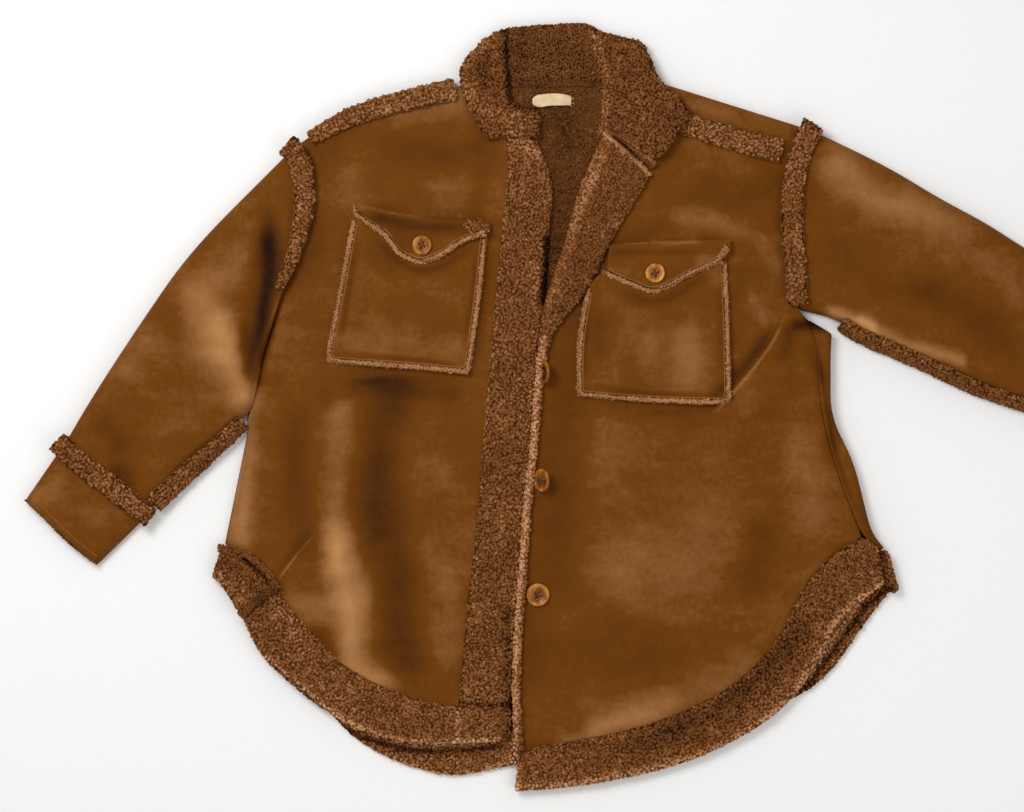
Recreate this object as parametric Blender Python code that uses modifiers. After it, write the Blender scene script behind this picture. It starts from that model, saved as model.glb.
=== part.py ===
# Shirt jacket in bonded faux shearling, laid flat on its back: suede outside, sherpa pile inside.
# One solid for each piece that is cut and sewn. The layout is drawn in millimetres,
# with +X to the wearer's left, +Y to the collar and +Z up from the table.

import math
from collections import namedtuple

import bmesh
import bpy
import numpy as np
from mathutils import Vector
from mathutils.bvhtree import BVHTree

MM = 0.001
NAME = "shirt_jacket"

# Walls
CLOTH = 4.0  # bonded suede and pile, pressed flat
PILE = 6.0  # sherpa bands, pile side out
STRIP = 4.5  # sherpa strips that cover the seams
FLAP = 3.5  # pocket and flap cloth
COLLAR_WALL = 5.0
LABEL = 1.2

# How the layers lie
SEAM = 0.5  # gap between pieces sewn edge to edge
REST = 0.6  # gap under a piece that lies on another
NEAR = 0.8  # how close around a place counts as under it
LAY = 7.0  # inside of the fronts above the table, over the back and its hem band
SIDE_FOLD = 9.0  # radius of the fold where the back comes round to the front
SHOULDER_FOLD = 7.5
EDGE_FOLD = 5.4  # radius of the turned front edge and of the lapel's roll
COLLAR_FOLD = 5.8
RIM = 8.0  # width of the front edge that is turned back below the lapel
SIDE_DROP = 14.0  # the right front rounds down to the table over this width
SHOULDER_LEVEL = 6.4  # inside of the right front at its shoulder
ARMPIT_LOW, ARMPIT_RISE = 118, 30  # the right side's drop ends over this height of the layout
LEFT_SIDE_EASE = 26  # how far from a folded seam the left front comes back to its own level
LEFT_SHOULDER_EASE = 24
EDGE_EASE = 12
BACK_UNDER = 3.0  # how far the back's right edge lies inside the front's
HEM_TUCK = 2.0  # how far the back reaches under its hem band
HEM_EASE = 30
TUBE_LOW = 5.0  # a sleeve's widest place above the table
TUBE_SIDE = 15.0  # width of a sleeve's rounded sides
STITCH_RIDGE = 1.6  # rise of the pile beside a strip's middle

# Even divisions of the sheets
BAND_ROWS = (0, 0.33, 0.67, 1)
FLAP_ROWS = (0, 0.25, 0.5, 0.75, 1)
HALF_TURN = (30, 60, 90, 120, 150, 180)  # degrees round a fold

# Outlines, all seen from above
RIGHT_SIDE = [(-311, -150), (-299, -91), (-286, -26), (-274, 39), (-261, 86), (-251, 126)]
RIGHT_ARMHOLE = [(-251, 126), (-239, 152), (-230, 179), (-225, 206), (-224, 232), (-227, 260), (-232, 281)]
RIGHT_SHOULDER = [(-232, 281), (-205, 300), (-178, 313), (-120, 332), (-56, 347)]
RIGHT_NECKLINE = [(-56, 347), (-40, 345), (-34, 330), (-16, 309), (-6, 299)]
PLACKET_LEFT = [(-57, -324), (-48, -213), (-40, -151), (-32, -58), (-21, 71), (-13, 158), (-6, 224),
                (-3, 259), (-6, 299)]
PLACKET_RIGHT = [(-1, -320), (1, -255), (7, -170), (12, -102), (18, -48), (22, 6), (28, 71), (33, 110),
                 (37, 179), (42, 217), (44, 240), (33, 270), (21, 295)]
RIGHT_HEM_TOP = [(-311, -150), (-297, -158), (-276, -167), (-258, -193), (-219, -243), (-185, -278),
                 (-148, -300), (-91, -321), (-57, -324), (-1, -321)]
RIGHT_HEM_JOINT, RIGHT_HEM_CORNER = 3, 8  # where the back's band ends and where the placket begins
RIGHT_HEM_LOW = [(-291, -224), (-288, -247), (-270, -270), (-244, -294), (-198, -331), (-140, -357),
                 (-60, -364), (-3, -360)]

LEFT_EDGE = [(4, -372), (0, -318), (2, -253), (8, -170), (13, -102), (19, -48), (23, 6), (29, 71)]
LEFT_ROLL = [(29, 71), (35, 113), (55, 170), (64, 205), (75, 242), (84, 262), (98, 294)]
LAPEL_EDGE = [(38, 68), (54, 94), (73, 113), (87, 135), (94, 152), (106, 179), (113, 191), (137, 229),
              (148, 250)]
LEFT_SIDE_SEAM = [(378, -141), (354, -80), (337, -21), (330, 28), (329, 66), (320, 92)]
LEFT_ARMHOLE = [(320, 92), (309, 99), (305, 118), (303, 150), (302, 202), (306, 244), (311, 275)]
LEFT_NECKLINE = [(102, 292), (122, 296), (128, 319)]
LEFT_SHOULDER = [(128, 319), (176, 307), (244, 287), (311, 275)]
LEFT_HEM_TOP = [(5, -372), (68, -362), (139, -347), (207, -320), (257, -287), (294, -241), (315, -194),
                (347, -160), (378, -141)]
LEFT_HEM_LOW = [(3, -416), (90, -407), (194, -382), (279, -337), (310, -306), (327, -280), (349, -237),
                (378, -207), (402, -192)]
LEFT_HEM_CORNER = (394, -150.5)  # top of the joint with the back's band

SIDE_FOLD_LINE = [(403, -150), (390, -126), (370, -53), (350, -4), (348, 39), (347, 82)]
BACK_ARMHOLE = [(338, 82), (320, 92), (308, 99), (304, 118), (303, 150), (302, 202), (306, 244), (312, 294)]
SHOULDER_FOLD_LINE = [(128, 355), (158, 350), (229, 328), (312, 302)]
BACK_NECK = [(-56, 347), (-36, 351), (0, 351), (83, 351), (128, 347)]
BACK_HEM_OUT = [(-316, -187), (-286, -225), (-270, -256), (-236, -288), (-203, -325), (-160, -367),
                (-110, -389), (-60, -401), (9, -386), (95, -389), (203, -363), (306, -314), (338, -296),
                (365, -258), (396, -214), (409, -199)]
BACK_HEM_IN = [(-304, -156), (-262, -213), (-215, -268), (-178, -302), (-140, -330), (-100, -347),
               (-58, -357), (0, -353), (90, -348), (190, -322), (285, -280), (318, -258),
               (345, -222), (378, -184), (398, -157)]
BACK_CORNERS = ((-304, -149), (394, -149))  # where the back's sides meet its hem band

SLEEVE_R_IN = [(-253, 125), (-264, 82), (-277, 39), (-286, -2), (-302, -26), (-338, -56), (-374, -91),
               (-395, -119)]
SLEEVE_R_OUT = [(-238, 278), (-283, 233), (-321, 195), (-359, 152), (-391, 106), (-418, 66), (-458, 4),
                (-482, -37)]
CUFF_R_END = [(-449, -172), (-527, -102)]
SLEEVE_L_IN = [(313, 103), (350, 95), (382, 76), (420, 61), (504, 22), (555, 4), (605, -11)]
SLEEVE_L_OUT = [(322, 300), (408, 258), (464, 224), (514, 198), (553, 172), (610, 138), (657, 105)]
CUFF_L_END = [(659, -34), (706, 73)]

# Soft rises of the cloth, each along a line from (x0, y0) to (x1, y1)
Rise = namedtuple("Rise", "x0 y0 x1 y1 half_width lift")
RISES = {
    "side_ridge_right": Rise(-190, -10, -181, -230, 27, 9),
    "side_right": Rise(-262, 60, -280, -120, 26, 8),
    "chest_right": Rise(-120, 190, -105, 110, 62, 5),
    "belly_right": Rise(-95, -60, -90, -240, 34, 4),
    "armpit_fold_left": Rise(306, 62, 228, -22, 24, 9),
    "belly_left": Rise(150, -90, 170, -210, 80, 8),
    "side_left": Rise(322, 40, 345, -100, 24, 7),
    "chest_left": Rise(150, 200, 150, 80, 60, 5),
    "shoulder_left": Rise(230, 215, 250, 120, 44, 4),
    "sleeve_ridge_right": Rise(-322, 118, -300, 24, 24, 8),
    "sleeve_elbow_right": Rise(-386, 64, -420, -30, 30, 5),
    "sleeve_ridge_left": Rise(380, 190, 520, 120, 34, 7),
    "sleeve_elbow_left": Rise(420, 90, 600, 30, 26, 5),
}

# The collar at stations from its right front end round the back neck to its left front end:
# seam, roll and free edge, and the heights of the seam, of the stand and the leaf at the roll, and of
# the edge. The leaf lies on the fronts, comes down round the corners of the neck and lies under the
# stand behind it.
Station = namedtuple("Station", "seam_x seam_y roll_x roll_y edge_x edge_y seam_z stand_z leaf_z edge_z")
COLLAR = [
    Station(24, 297, 30, 318, 27, 291, 7.0, 7.0, 18.6, 18.6),
    Station(5, 301, 14, 322, 8, 290, 7.0, 7.0, 18.6, 18.6),
    Station(-10, 312, -1, 326, -10, 292, 7.0, 7.0, 18.6, 18.6),
    Station(-22, 324, -4, 336, -29, 288, 7.0, 7.0, 18.6, 18.6),
    Station(-29, 335, -5, 348, -43, 316, 6.8, 7.0, 18.6, 18.6),
    Station(-31, 345, -6, 359, -54, 338, 6.6, 7.2, 18.6, 17.5),
    Station(-28, 354, -8, 372, -57, 360, 6.4, 8.0, 18.6, 15.0),
    Station(-22, 354, -9, 386, -52, 374, 6.2, 10.0, 17.5, 11.0),
    Station(-14, 353, -9, 397, -37, 391, 6.0, 13.0, 16.5, 8.0),
    Station(-3, 352, -6, 408, -18, 406, 5.8, 14.0, 10.0, 3.5),
    Station(10, 352, 9, 410, 9, 392, 5.6, 13.2, 0.4, 0.4),
    Station(41, 352, 41, 412, 41, 392, 5.6, 13.2, 0.4, 0.4),
    Station(70, 352, 70, 414, 70, 392, 5.6, 13.2, 0.4, 0.4),
    Station(82, 352, 83, 413, 84, 392, 5.6, 13.2, 0.4, 0.4),
    Station(91, 352, 90, 407, 103, 404, 5.8, 14.0, 10.0, 3.5),
    Station(98, 352, 93, 397, 119, 399, 6.0, 13.0, 16.5, 8.0),
    Station(105, 353, 95, 384, 141, 394, 6.2, 11.0, 17.5, 11.0),
    Station(112, 352, 97, 370, 151, 371, 6.4, 9.0, 18.4, 15.0),
    Station(119, 344, 99, 355, 158, 350, 6.6, 7.4, 18.6, 17.5),
    Station(121, 332, 99, 339, 178, 333, 6.8, 7.0, 18.6, 18.6),
    Station(122, 320, 98, 324, 192, 315, 7.0, 7.0, 18.6, 18.6),
    Station(121, 310, 98, 311, 182, 296, 7.0, 7.0, 18.6, 18.6),
    Station(118, 302, 99, 299, 156, 266, 7.0, 7.0, 18.6, 18.6),
]

# Strips over the seams: the centre line, and how far the strip reaches to the left and right of it
Strip = namedtuple("Strip", "left right spans line")
STRIPS = {
    "shoulder_trim_right": Strip(8, 12, 12, [
        (-218, 289), (-203, 299), (-178, 312), (-147, 323), (-120, 330), (-90, 337), (-62, 344)]),
    "armhole_trim_right": Strip(11, 11, 15, [
        (-243, 281), (-234, 274), (-226, 252), (-224, 228), (-225, 206), (-231, 179), (-240, 152),
        (-251, 128)]),
    "sleeve_trim_right": Strip(12, 8, 12, [
        (-386, -106), (-369, -91), (-342, -66), (-313, -40), (-296, -24)]),
    "cuff_trim_right": Strip(12, 12, 12, [
        (-490, -38), (-464, -63), (-432, -87), (-404, -110), (-390, -120)]),
    "shoulder_trim_left": Strip(12, 12, 9, [
        (182, 306), (211, 297), (244, 287), (274, 279), (290, 275)]),
    "armhole_trim_left": Strip(11, 11, 15, [
        (326, 303), (318, 291), (309, 266), (305, 244), (302, 202), (306, 150), (308, 110)]),
    "sleeve_trim_left": Strip(5, 3, 14, [
        (356, 88), (381, 73), (418, 58), (455, 41), (502, 19), (553, 1), (588, -9)]),
    "cuff_trim_left": Strip(12, 12, 12, [
        (660, 112), (648, 78), (628, 33), (610, -8), (603, -22)]),
}

Pocket = namedtuple("Pocket", "left bottom right top")
POCKETS = {
    "pocket_right": Pocket(
        [(-197, 50), (-186, 122), (-172, 208)],
        [(-197, 50), (-148, 44), (-102, 40), (-48, 34)],
        [(-48, 34), (-33, 122), (-30, 180)],
        [(-172, 208), (-100, 196), (-30, 180)]),
    "pocket_left": Pocket(
        [(73, 13), (73, 58), (80, 120), (93, 143)],
        [(73, 13), (156, 4), (221, 2), (235, 8)],
        [(235, 8), (233, 79), (231, 158)],
        [(93, 143), (160, 150), (231, 158)]),
}
Flap = namedtuple("Flap", "top bottom")
FLAPS = {
    "flap_right": Flap(
        [(-168, 219), (-112, 206), (-82, 201), (-50, 200), (-24, 198)],
        [(-166, 211), (-138, 192), (-122, 173), (-110, 161), (-94, 157), (-78, 161), (-54, 175),
         (-27, 184)]),
    "flap_left": Flap(
        [(106, 173), (156, 177), (226, 179), (236, 179)],
        [(102, 147), (113, 143), (134, 133), (151, 126), (167, 130), (192, 143), (221, 156), (236, 171)]),
}

Button = namedtuple("Button", "x y diameter height")
BUTTONS = {
    "pocket_button_right": Button(-97, 173, 21.0, 4.0),
    "pocket_button_left": Button(154, 143, 21.0, 4.0),
    "front_button_1": Button(37, 36, 25.0, 4.6),
    "front_button_2": Button(33, -80, 25.0, 4.6),
    "front_button_3": Button(28, -204, 25.0, 4.6),
}
BUTTON_PROFILE = [(0, 1.0), (0.55, 0.62), (0.72, 0.75), (0.86, 1.0), (1, 0.7), (1, 0.3), (0.8, 0), (0, 0)]
BUTTON_SIDES = 20
LABEL_PLACE = (43, 330, 42, 13, 0.03)  # centre, width, depth, turn

SUEDE = ((0.18, 0.075, 0.022), 0.62)
SHERPA = ((0.13, 0.055, 0.028), 0.95)
HORN = ((0.42, 0.17, 0.03), 0.28)
COTTON = ((0.80, 0.74, 0.60), 0.85)


SMOOTH = 8  # points of a smooth line for each span of its outline


def spline(points, per_span=SMOOTH):
    """A smooth line through the points (Catmull-Rom)."""
    p = np.asarray(points, float)
    if len(p) == 2:
        return p
    ends = np.vstack([2 * p[0] - p[1], p, 2 * p[-1] - p[-2]])
    t = np.linspace(0, 1, per_span, endpoint=False)[:, None]
    spans = []
    for a, b, c, d in zip(ends, ends[1:], ends[2:], ends[3:]):
        bend = (2 * a - 5 * b + 4 * c - d) * t**2 + (3 * b - a - 3 * c + d) * t**3
        spans.append(0.5 * (2 * b + (c - a) * t + bend))
    return np.vstack(spans + [p[-1:]])


def shares(line):
    """How far along the line each of its points lies, from 0 to 1."""
    steps = np.linalg.norm(np.diff(line[:, :2], axis=0), axis=1)
    reach = np.concatenate([[0], np.cumsum(steps)])
    return reach / reach[-1]


def along(line, fractions):
    where = shares(line)
    return np.stack([np.interp(fractions, where, column) for column in line.T], axis=-1)


def steps(line, spans):
    return along(line, np.linspace(0, 1, spans + 1))


def joined(*lines):
    """Lines end to end, each shared end point once."""
    return np.vstack([lines[0]] + [line[1:] for line in lines[1:]])


def beside(line, distance):
    """The line moved to its right by the distance."""
    run = np.gradient(line[:, :2], axis=0)
    run /= np.linalg.norm(run, axis=1)[:, None]
    return line[:, :2] + distance * np.stack([run[:, 1], -run[:, 0]], axis=-1)


def from_line(xy, line):
    """The distance of each point to the line."""
    a, b = line[:-1], line[1:]
    ab = b - a
    to = xy[..., None, :] - a
    t = np.clip((to * ab).sum(-1) / (ab**2).sum(-1), 0, 1)
    return np.linalg.norm(to - t[..., None] * ab, axis=-1).min(-1)


def coons(bottom, top, left, right):
    """A grid of plan points between four edges, rows from bottom to top."""
    u = ((shares(bottom) + shares(top)) / 2)[None, :, None]
    v = ((shares(left) + shares(right)) / 2)[:, None, None]
    between_rows = (1 - v) * bottom[None] + v * top[None]
    between_columns = (1 - u) * left[:, None] + u * right[:, None]
    low = (1 - u) * bottom[0] + u * bottom[-1]
    high = (1 - u) * top[0] + u * top[-1]
    return between_rows + between_columns - (1 - v) * low - v * high


def respaced(plan, left=(), right=(), spans=8):
    """Each row again, with columns at set distances from its ends and even ones between."""
    rows = []
    for row in plan:
        width = np.linalg.norm(np.diff(row, axis=0), axis=1).sum()
        start = np.array([0.0, *left]) / width
        end = 1 - np.array([0.0, *right])[::-1] / width
        middle = np.linspace(start[-1], end[0], spans + 1)[1:-1]
        rows.append(along(row, np.concatenate([start, middle, end])))
    return np.array(rows)


def rise(xy):
    """How far the soft rises lift the cloth at each point."""
    lift = np.zeros(xy.shape[:-1])
    for fold in RISES.values():
        line = np.array([(fold.x0, fold.y0), (fold.x1, fold.y1)], float)
        lift += fold.lift * np.exp(-((from_line(xy, line) / fold.half_width) ** 2))
    return lift


def toward(z, level, distance, reach):
    """Heights that reach a level where the distance is nil."""
    share = np.exp(-((distance / reach) ** 2))
    return z * (1 - share) + level * share


def raised(xy, z):
    return np.concatenate([xy, z[..., None]], axis=-1)


def turned_up(foot, out, radius, angles):
    """Points of a sheet that leaves the table at the foot and comes back over it."""
    return [(*(foot + radius * math.sin(a) * out), radius * (1 - math.cos(a))) for a in angles]


def material(name, colour, roughness):
    made = bpy.data.materials.new(name)
    made.use_nodes = True
    shader = made.node_tree.nodes["Principled BSDF"]
    shader.inputs["Base Color"].default_value = (*colour, 1)
    shader.inputs["Roughness"].default_value = roughness
    return made


def placed(name, mesh, look):
    thing = bpy.data.objects.new(name, mesh)
    mesh.materials.append(material(name, *look))
    PARTS.objects.link(thing)
    return thing


def sheet(name, grids, wall, look, ring=False):
    """Cloth of an even wall, thickened to the left of its rows' travel: up, on what lies flat."""
    cloth = bmesh.new()
    for grid in grids:
        rows = [[cloth.verts.new(Vector(point) * MM) for point in row] for row in grid]
        width = len(rows[0])
        for near, far in zip(rows, rows[1:]):
            for j in range(width if ring else width - 1):
                k = (j + 1) % width
                cloth.faces.new((near[j], near[k], far[k], far[j]))
    bmesh.ops.remove_doubles(cloth, verts=cloth.verts, dist=1e-6)
    mesh = bpy.data.meshes.new(name)
    cloth.to_mesh(mesh)
    cloth.free()
    mesh.shade_smooth()
    thing = placed(name, mesh, look)
    solidify = thing.modifiers.new("wall", "SOLIDIFY")
    solidify.thickness = wall * MM
    solidify.offset = 1
    return thing


def trees(*names):
    """Search trees of the pieces as they are built so far."""
    bpy.context.view_layer.update()
    graph = bpy.context.evaluated_depsgraph_get()
    return [BVHTree.FromObject(bpy.data.objects[name], graph) for name in names]


def top_of(under, x, y, around=0.0):
    """The height of the highest thing at this place and close around it, or the table."""
    highest = 0.0
    corners = ((around, around), (-around, around), (around, -around), (-around, -around))
    for dx, dy in ((0, 0), *corners):
        start = Vector(((x + dx) * MM, (y + dy) * MM, 0.5))
        for tree in under:
            hit = tree.ray_cast(start, Vector((0, 0, -1)))[0]
            if hit:
                highest = max(highest, hit.z / MM)
        if around == 0:
            break
    return highest


def levelled(z, rounds):
    """Heights with their hollows filled, so the sheet spans small steps under it."""
    for _ in range(rounds):
        wide = np.pad(z, 1, mode="edge")
        z = np.maximum(z, (wide[:-2, 1:-1] + wide[2:, 1:-1] + wide[1:-1, :-2] + wide[1:-1, 2:]) / 4)
    return z


def settled(xy, under, gap=REST, relief=0.0, rounds=6):
    """A sheet laid on the pieces under it: no face of it comes nearer to them than the gap."""
    marks = np.linspace(0, 1, 5)
    pairs = [(s, t) for t in marks for s in marks]
    weights = np.array([((1 - s) * (1 - t), s * (1 - t), (1 - s) * t, s * t) for s, t in pairs])
    corners = np.stack([xy[:-1, :-1], xy[:-1, 1:], xy[1:, :-1], xy[1:, 1:]], axis=2)
    samples = np.einsum("kc,ijcd->ijkd", weights, corners)
    need = [[[top_of(under, *point, NEAR) + gap for point in quad] for quad in row] for row in samples]
    highest = np.array(need).max(axis=2)
    z = np.zeros(xy.shape[:2])
    for rows in (slice(None, -1), slice(1, None)):
        for columns in (slice(None, -1), slice(1, None)):
            z[rows, columns] = np.maximum(z[rows, columns], highest)
    z = levelled(z, rounds) + relief
    return raised(xy, z)


def front_right():
    """The wearer's right front. Its side rounds down to the table over the back's edge."""
    side = beside(steps(spline(RIGHT_SIDE), 11), CLOTH)
    armhole = steps(spline(RIGHT_ARMHOLE), 8)
    side[-1] = armhole[0] + (CLOTH / 2, 0)
    left = joined(side, armhole)
    right = beside(steps(spline(PLACKET_LEFT), 19), -SEAM)
    bottom = steps(spline(RIGHT_HEM_TOP)[:RIGHT_HEM_CORNER * SMOOTH + 1], 40)
    top = steps(joined(spline(RIGHT_SHOULDER), spline(RIGHT_NECKLINE)), 40)
    left[0], left[-1] = bottom[0] + (CLOTH, 0), top[0] + (SEAM, 0)
    right[0], right[-1] = bottom[-1] - (SEAM, 0), top[-1] - (SEAM, 0)
    bottom[0], bottom[-1], top[0], top[-1] = left[0], right[0], left[-1], right[-1]
    angles = np.radians([0, 20, 40, 62, 90])
    drop = SIDE_DROP * (1 - np.cos(angles))
    plan = respaced(coons(bottom, top, left, right), left=drop[1:], spans=10)
    z = LAY + rise(plan)
    z = toward(z, SHOULDER_LEVEL, from_line(plan, np.array(RIGHT_SHOULDER, float)), 16)
    lowered = 0.5 + (z[:, :5] - 0.5) * np.sin(angles)
    armpit = np.clip((plan[:, :1, 1] - ARMPIT_LOW) / ARMPIT_RISE, 0, 1)
    z[:, :5] = lowered * (1 - armpit) + z[:, :5] * armpit
    sheet("front_right", [raised(plan, z)], CLOTH, SUEDE)
    return plan


def front_left():
    """The wearer's left front, its edge turned back as a narrow rim and, above, as the lapel."""
    edge = joined(steps(spline(LEFT_EDGE), 10), steps(spline(LEFT_ROLL), 9))
    left = beside(edge, EDGE_FOLD)
    right = joined(steps(spline(LEFT_SIDE_SEAM), 10), steps(spline(LEFT_ARMHOLE), 9))
    right = beside(right, -SEAM)
    bottom = steps(spline(LEFT_HEM_TOP), 40)
    top = steps(joined(spline(LEFT_NECKLINE), spline(LEFT_SHOULDER)), 40)
    bottom[0], bottom[-1] = left[0], right[0]
    top[0], top[-1] = left[-1], right[-1]
    plan = respaced(coons(bottom, top, left, right), spans=14)
    z = LAY + rise(plan)
    side_level = 2 * SIDE_FOLD - CLOTH
    z = toward(z, side_level, from_line(plan, np.array(LEFT_SIDE_SEAM, float)), LEFT_SIDE_EASE)
    shoulder_level = 2 * SHOULDER_FOLD - CLOTH
    z = toward(z, shoulder_level, from_line(plan, np.array(LEFT_SHOULDER, float)), LEFT_SHOULDER_EASE)
    z = toward(z, LAY, from_line(plan, edge), EDGE_EASE)
    flat = raised(plan, z)

    free = np.vstack([beside(edge, RIM)[:10], steps(spline(LAPEL_EDGE), 9)])
    turn = []
    for foot, out, lip in zip(flat[:, 0], beside(edge, 0) - left, free):
        out = out / np.linalg.norm(out)
        arc = []
        for angle in np.radians(HALF_TURN):
            reach = foot[:2] + EDGE_FOLD * math.sin(angle) * out
            arc.append((*reach, foot[2] + EDGE_FOLD * (1 - math.cos(angle))))
        leaf = []
        for share in FLAP_ROWS[1:]:
            place = foot[:2] * (1 - share) + lip * share
            under = LAY + rise(place)
            over = 2 * EDGE_FOLD * (1 - share) + (2 * CLOTH + 1.2) * share
            leaf.append((*place, under + over))
        turn.append([tuple(p) for p in leaf[::-1]] + arc[::-1] + [tuple(foot)])
    sheet("front_left", [flat, np.array(turn)], CLOTH, SUEDE)
    return plan


def back():
    """The back on the table, folded forward at the left side and over the left shoulder."""
    angles = np.radians((0, *HALF_TURN))
    fold = beside(steps(spline(SIDE_FOLD_LINE), 10), -SIDE_FOLD)
    right = joined(fold, steps(spline([tuple(fold[-1])] + BACK_ARMHOLE[1:]), 9))
    side = beside(steps(spline(RIGHT_SIDE), 10), CLOTH + BACK_UNDER)
    left = joined(side, steps(spline([tuple(side[-1])] + RIGHT_ARMHOLE[1:]), 9))
    bottom = beside(steps(spline(BACK_HEM_IN), 40), -HEM_TUCK)
    shoulder_fold = beside(steps(spline(SHOULDER_FOLD_LINE), 7), SHOULDER_FOLD)
    top = joined(steps(joined(spline(RIGHT_SHOULDER), spline(BACK_NECK)), 8), shoulder_fold)
    left[0], right[0] = BACK_CORNERS
    bottom[0], bottom[-1] = left[0], right[0]
    top[0] = left[-1]
    right[-1] = top[-1]
    fractions = shares(top)
    plan = coons(along(bottom, fractions), top, left, right)
    flat = raised(plan, np.zeros(plan.shape[:2]))

    seam = beside(steps(spline(LEFT_SIDE_SEAM), 10), SEAM)
    wrap = []
    for foot, lip in zip(flat[:11, -1], seam):
        out = (foot[:2] - lip) / np.linalg.norm(foot[:2] - lip)
        wrap.append(turned_up(foot[:2], out, SIDE_FOLD, angles) + [(*lip, 2 * SIDE_FOLD)])
    seam = beside(steps(spline(LEFT_SHOULDER), 7), -SEAM)
    over = []
    out = np.array((0.29, 0.957))
    for foot, lip in zip(flat[-1, -8:], seam):
        arc = turned_up(foot[:2], out, SHOULDER_FOLD, angles)
        over.append(arc + [(*((foot[:2] + lip) / 2), 2 * SHOULDER_FOLD), (*lip, 2 * SHOULDER_FOLD)])
    return sheet("back", [flat, np.array(wrap), np.array(over).transpose(1, 0, 2)], CLOTH, SUEDE)


def hem_bands(right_plan, left_plan):
    """Two bands on the fronts and one on the back, which comes round both sides to meet them."""
    joint = spline(RIGHT_HEM_TOP)[RIGHT_HEM_JOINT * SMOOTH]
    right_row = right_plan[0][right_plan[0][:, 0] > joint[0] + 6]
    right_top = np.vstack([joint, right_row, RIGHT_HEM_TOP[-1]])
    left_top = np.vstack([left_plan[0], LEFT_HEM_CORNER])
    bands = (("hem_band_right", RIGHT_HEM_LOW, right_top), ("hem_band_left", LEFT_HEM_LOW, left_top))
    left_joint = np.array([LEFT_HEM_TOP[-1], LEFT_HEM_LOW[-1]], float)
    for name, low, high in bands:
        upper = beside(high, 2 * SEAM)
        lower = along(spline(low), shares(upper))
        plan = np.array([lower * (1 - s) + upper * s for s in BAND_ROWS])
        z = LAY + rise(plan)
        if name == "hem_band_left":
            z = toward(z, 2 * SIDE_FOLD - CLOTH, from_line(plan, left_joint), HEM_EASE)
        sheet(name, [raised(plan, z)], PILE, SHERPA)

    outer = steps(spline(BACK_HEM_OUT), 26)
    inner = steps(spline(BACK_HEM_IN), 26)
    angles = np.radians(HALF_TURN)
    stations = [[(*point, 0.0) for point in pair] for pair in zip(outer, inner)]
    for end, out, joint in (
        (0, np.array((-0.94, 0.33)), ((-293, -224), (-261, -195))),
        (-1, np.array((0.99, -0.12)), ((404, -193.5), (396, -154))),
    ):
        pair = (outer[end], inner[end])
        arc = list(zip(*(turned_up(p, out, SIDE_FOLD, angles) for p in pair)))
        middle = [[*((p + np.array(q)) / 2), 2 * SIDE_FOLD] for p, q in zip(pair, joint)]
        last = [[*q, 2 * SIDE_FOLD] for q in joint]
        extra = arc + [middle, last]
        stations = extra[::-1] + stations if end == 0 else stations + extra
    rows = []
    for share in BAND_ROWS:
        rows.append([np.array(low) * (1 - share) + np.array(high) * share for low, high in stations])
    sheet("hem_band_back", [np.array(rows)], PILE, SHERPA)


def placket(right_plan):
    left = beside(right_plan[:, -1], 2 * SEAM)
    right = along(spline(PLACKET_RIGHT), shares(left))
    plan = np.stack([left * (1 - s) + right * s for s in BAND_ROWS], axis=1)
    z = LAY + rise(plan)
    sheet("placket_right", [raised(plan, z)], PILE, SHERPA)


def tube(name, start, end, left, right, height, rows, look):
    """A flattened tube of cloth, open at both ends, flat on the table and rounded at both sides."""
    plan = coons(steps(start, 40), steps(end, 40), steps(left, rows), steps(right, rows))
    up = np.radians([30, 60, 90])
    sides = [5.0, 1.5, 0.0] + [TUBE_SIDE * (1 - math.cos(a)) for a in up]
    rings = []
    for row, share in zip(plan, np.linspace(0, 1, rows + 1)):
        width = np.linalg.norm(np.diff(row, axis=0), axis=1).sum()
        line = np.asarray(row)
        tall = np.interp(share, np.linspace(0, 1, len(height)), height)
        floor = along(line, np.linspace(sides[0] / width, 1 - sides[0] / width, 6))
        crown = along(line, np.linspace(TUBE_SIDE / width, 1 - TUBE_SIDE / width, 7))
        crown_z = tall + rise(crown)
        rim_z = [1.5, TUBE_LOW] + [TUBE_LOW + (tall - TUBE_LOW) * math.sin(a) for a in up[:-1]]
        edge = np.array(sides[1:-1]) / width
        far = along(line, 1 - edge)
        near = along(line, edge)[::-1]
        lift = np.array([0, 0, math.sin(up[0]), math.sin(up[1])])
        far_z = np.array(rim_z) + lift * (crown_z[-1] - tall)
        near_z = (np.array(rim_z) + lift * (crown_z[0] - tall))[::-1]
        ring = np.vstack([
            raised(floor, np.zeros(6)),
            raised(far, far_z),
            raised(crown[::-1], crown_z[::-1]),
            raised(near, near_z),
        ])
        rings.append(ring)
    return sheet(name, [np.array(rings)], CLOTH, look, ring=True)


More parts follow.
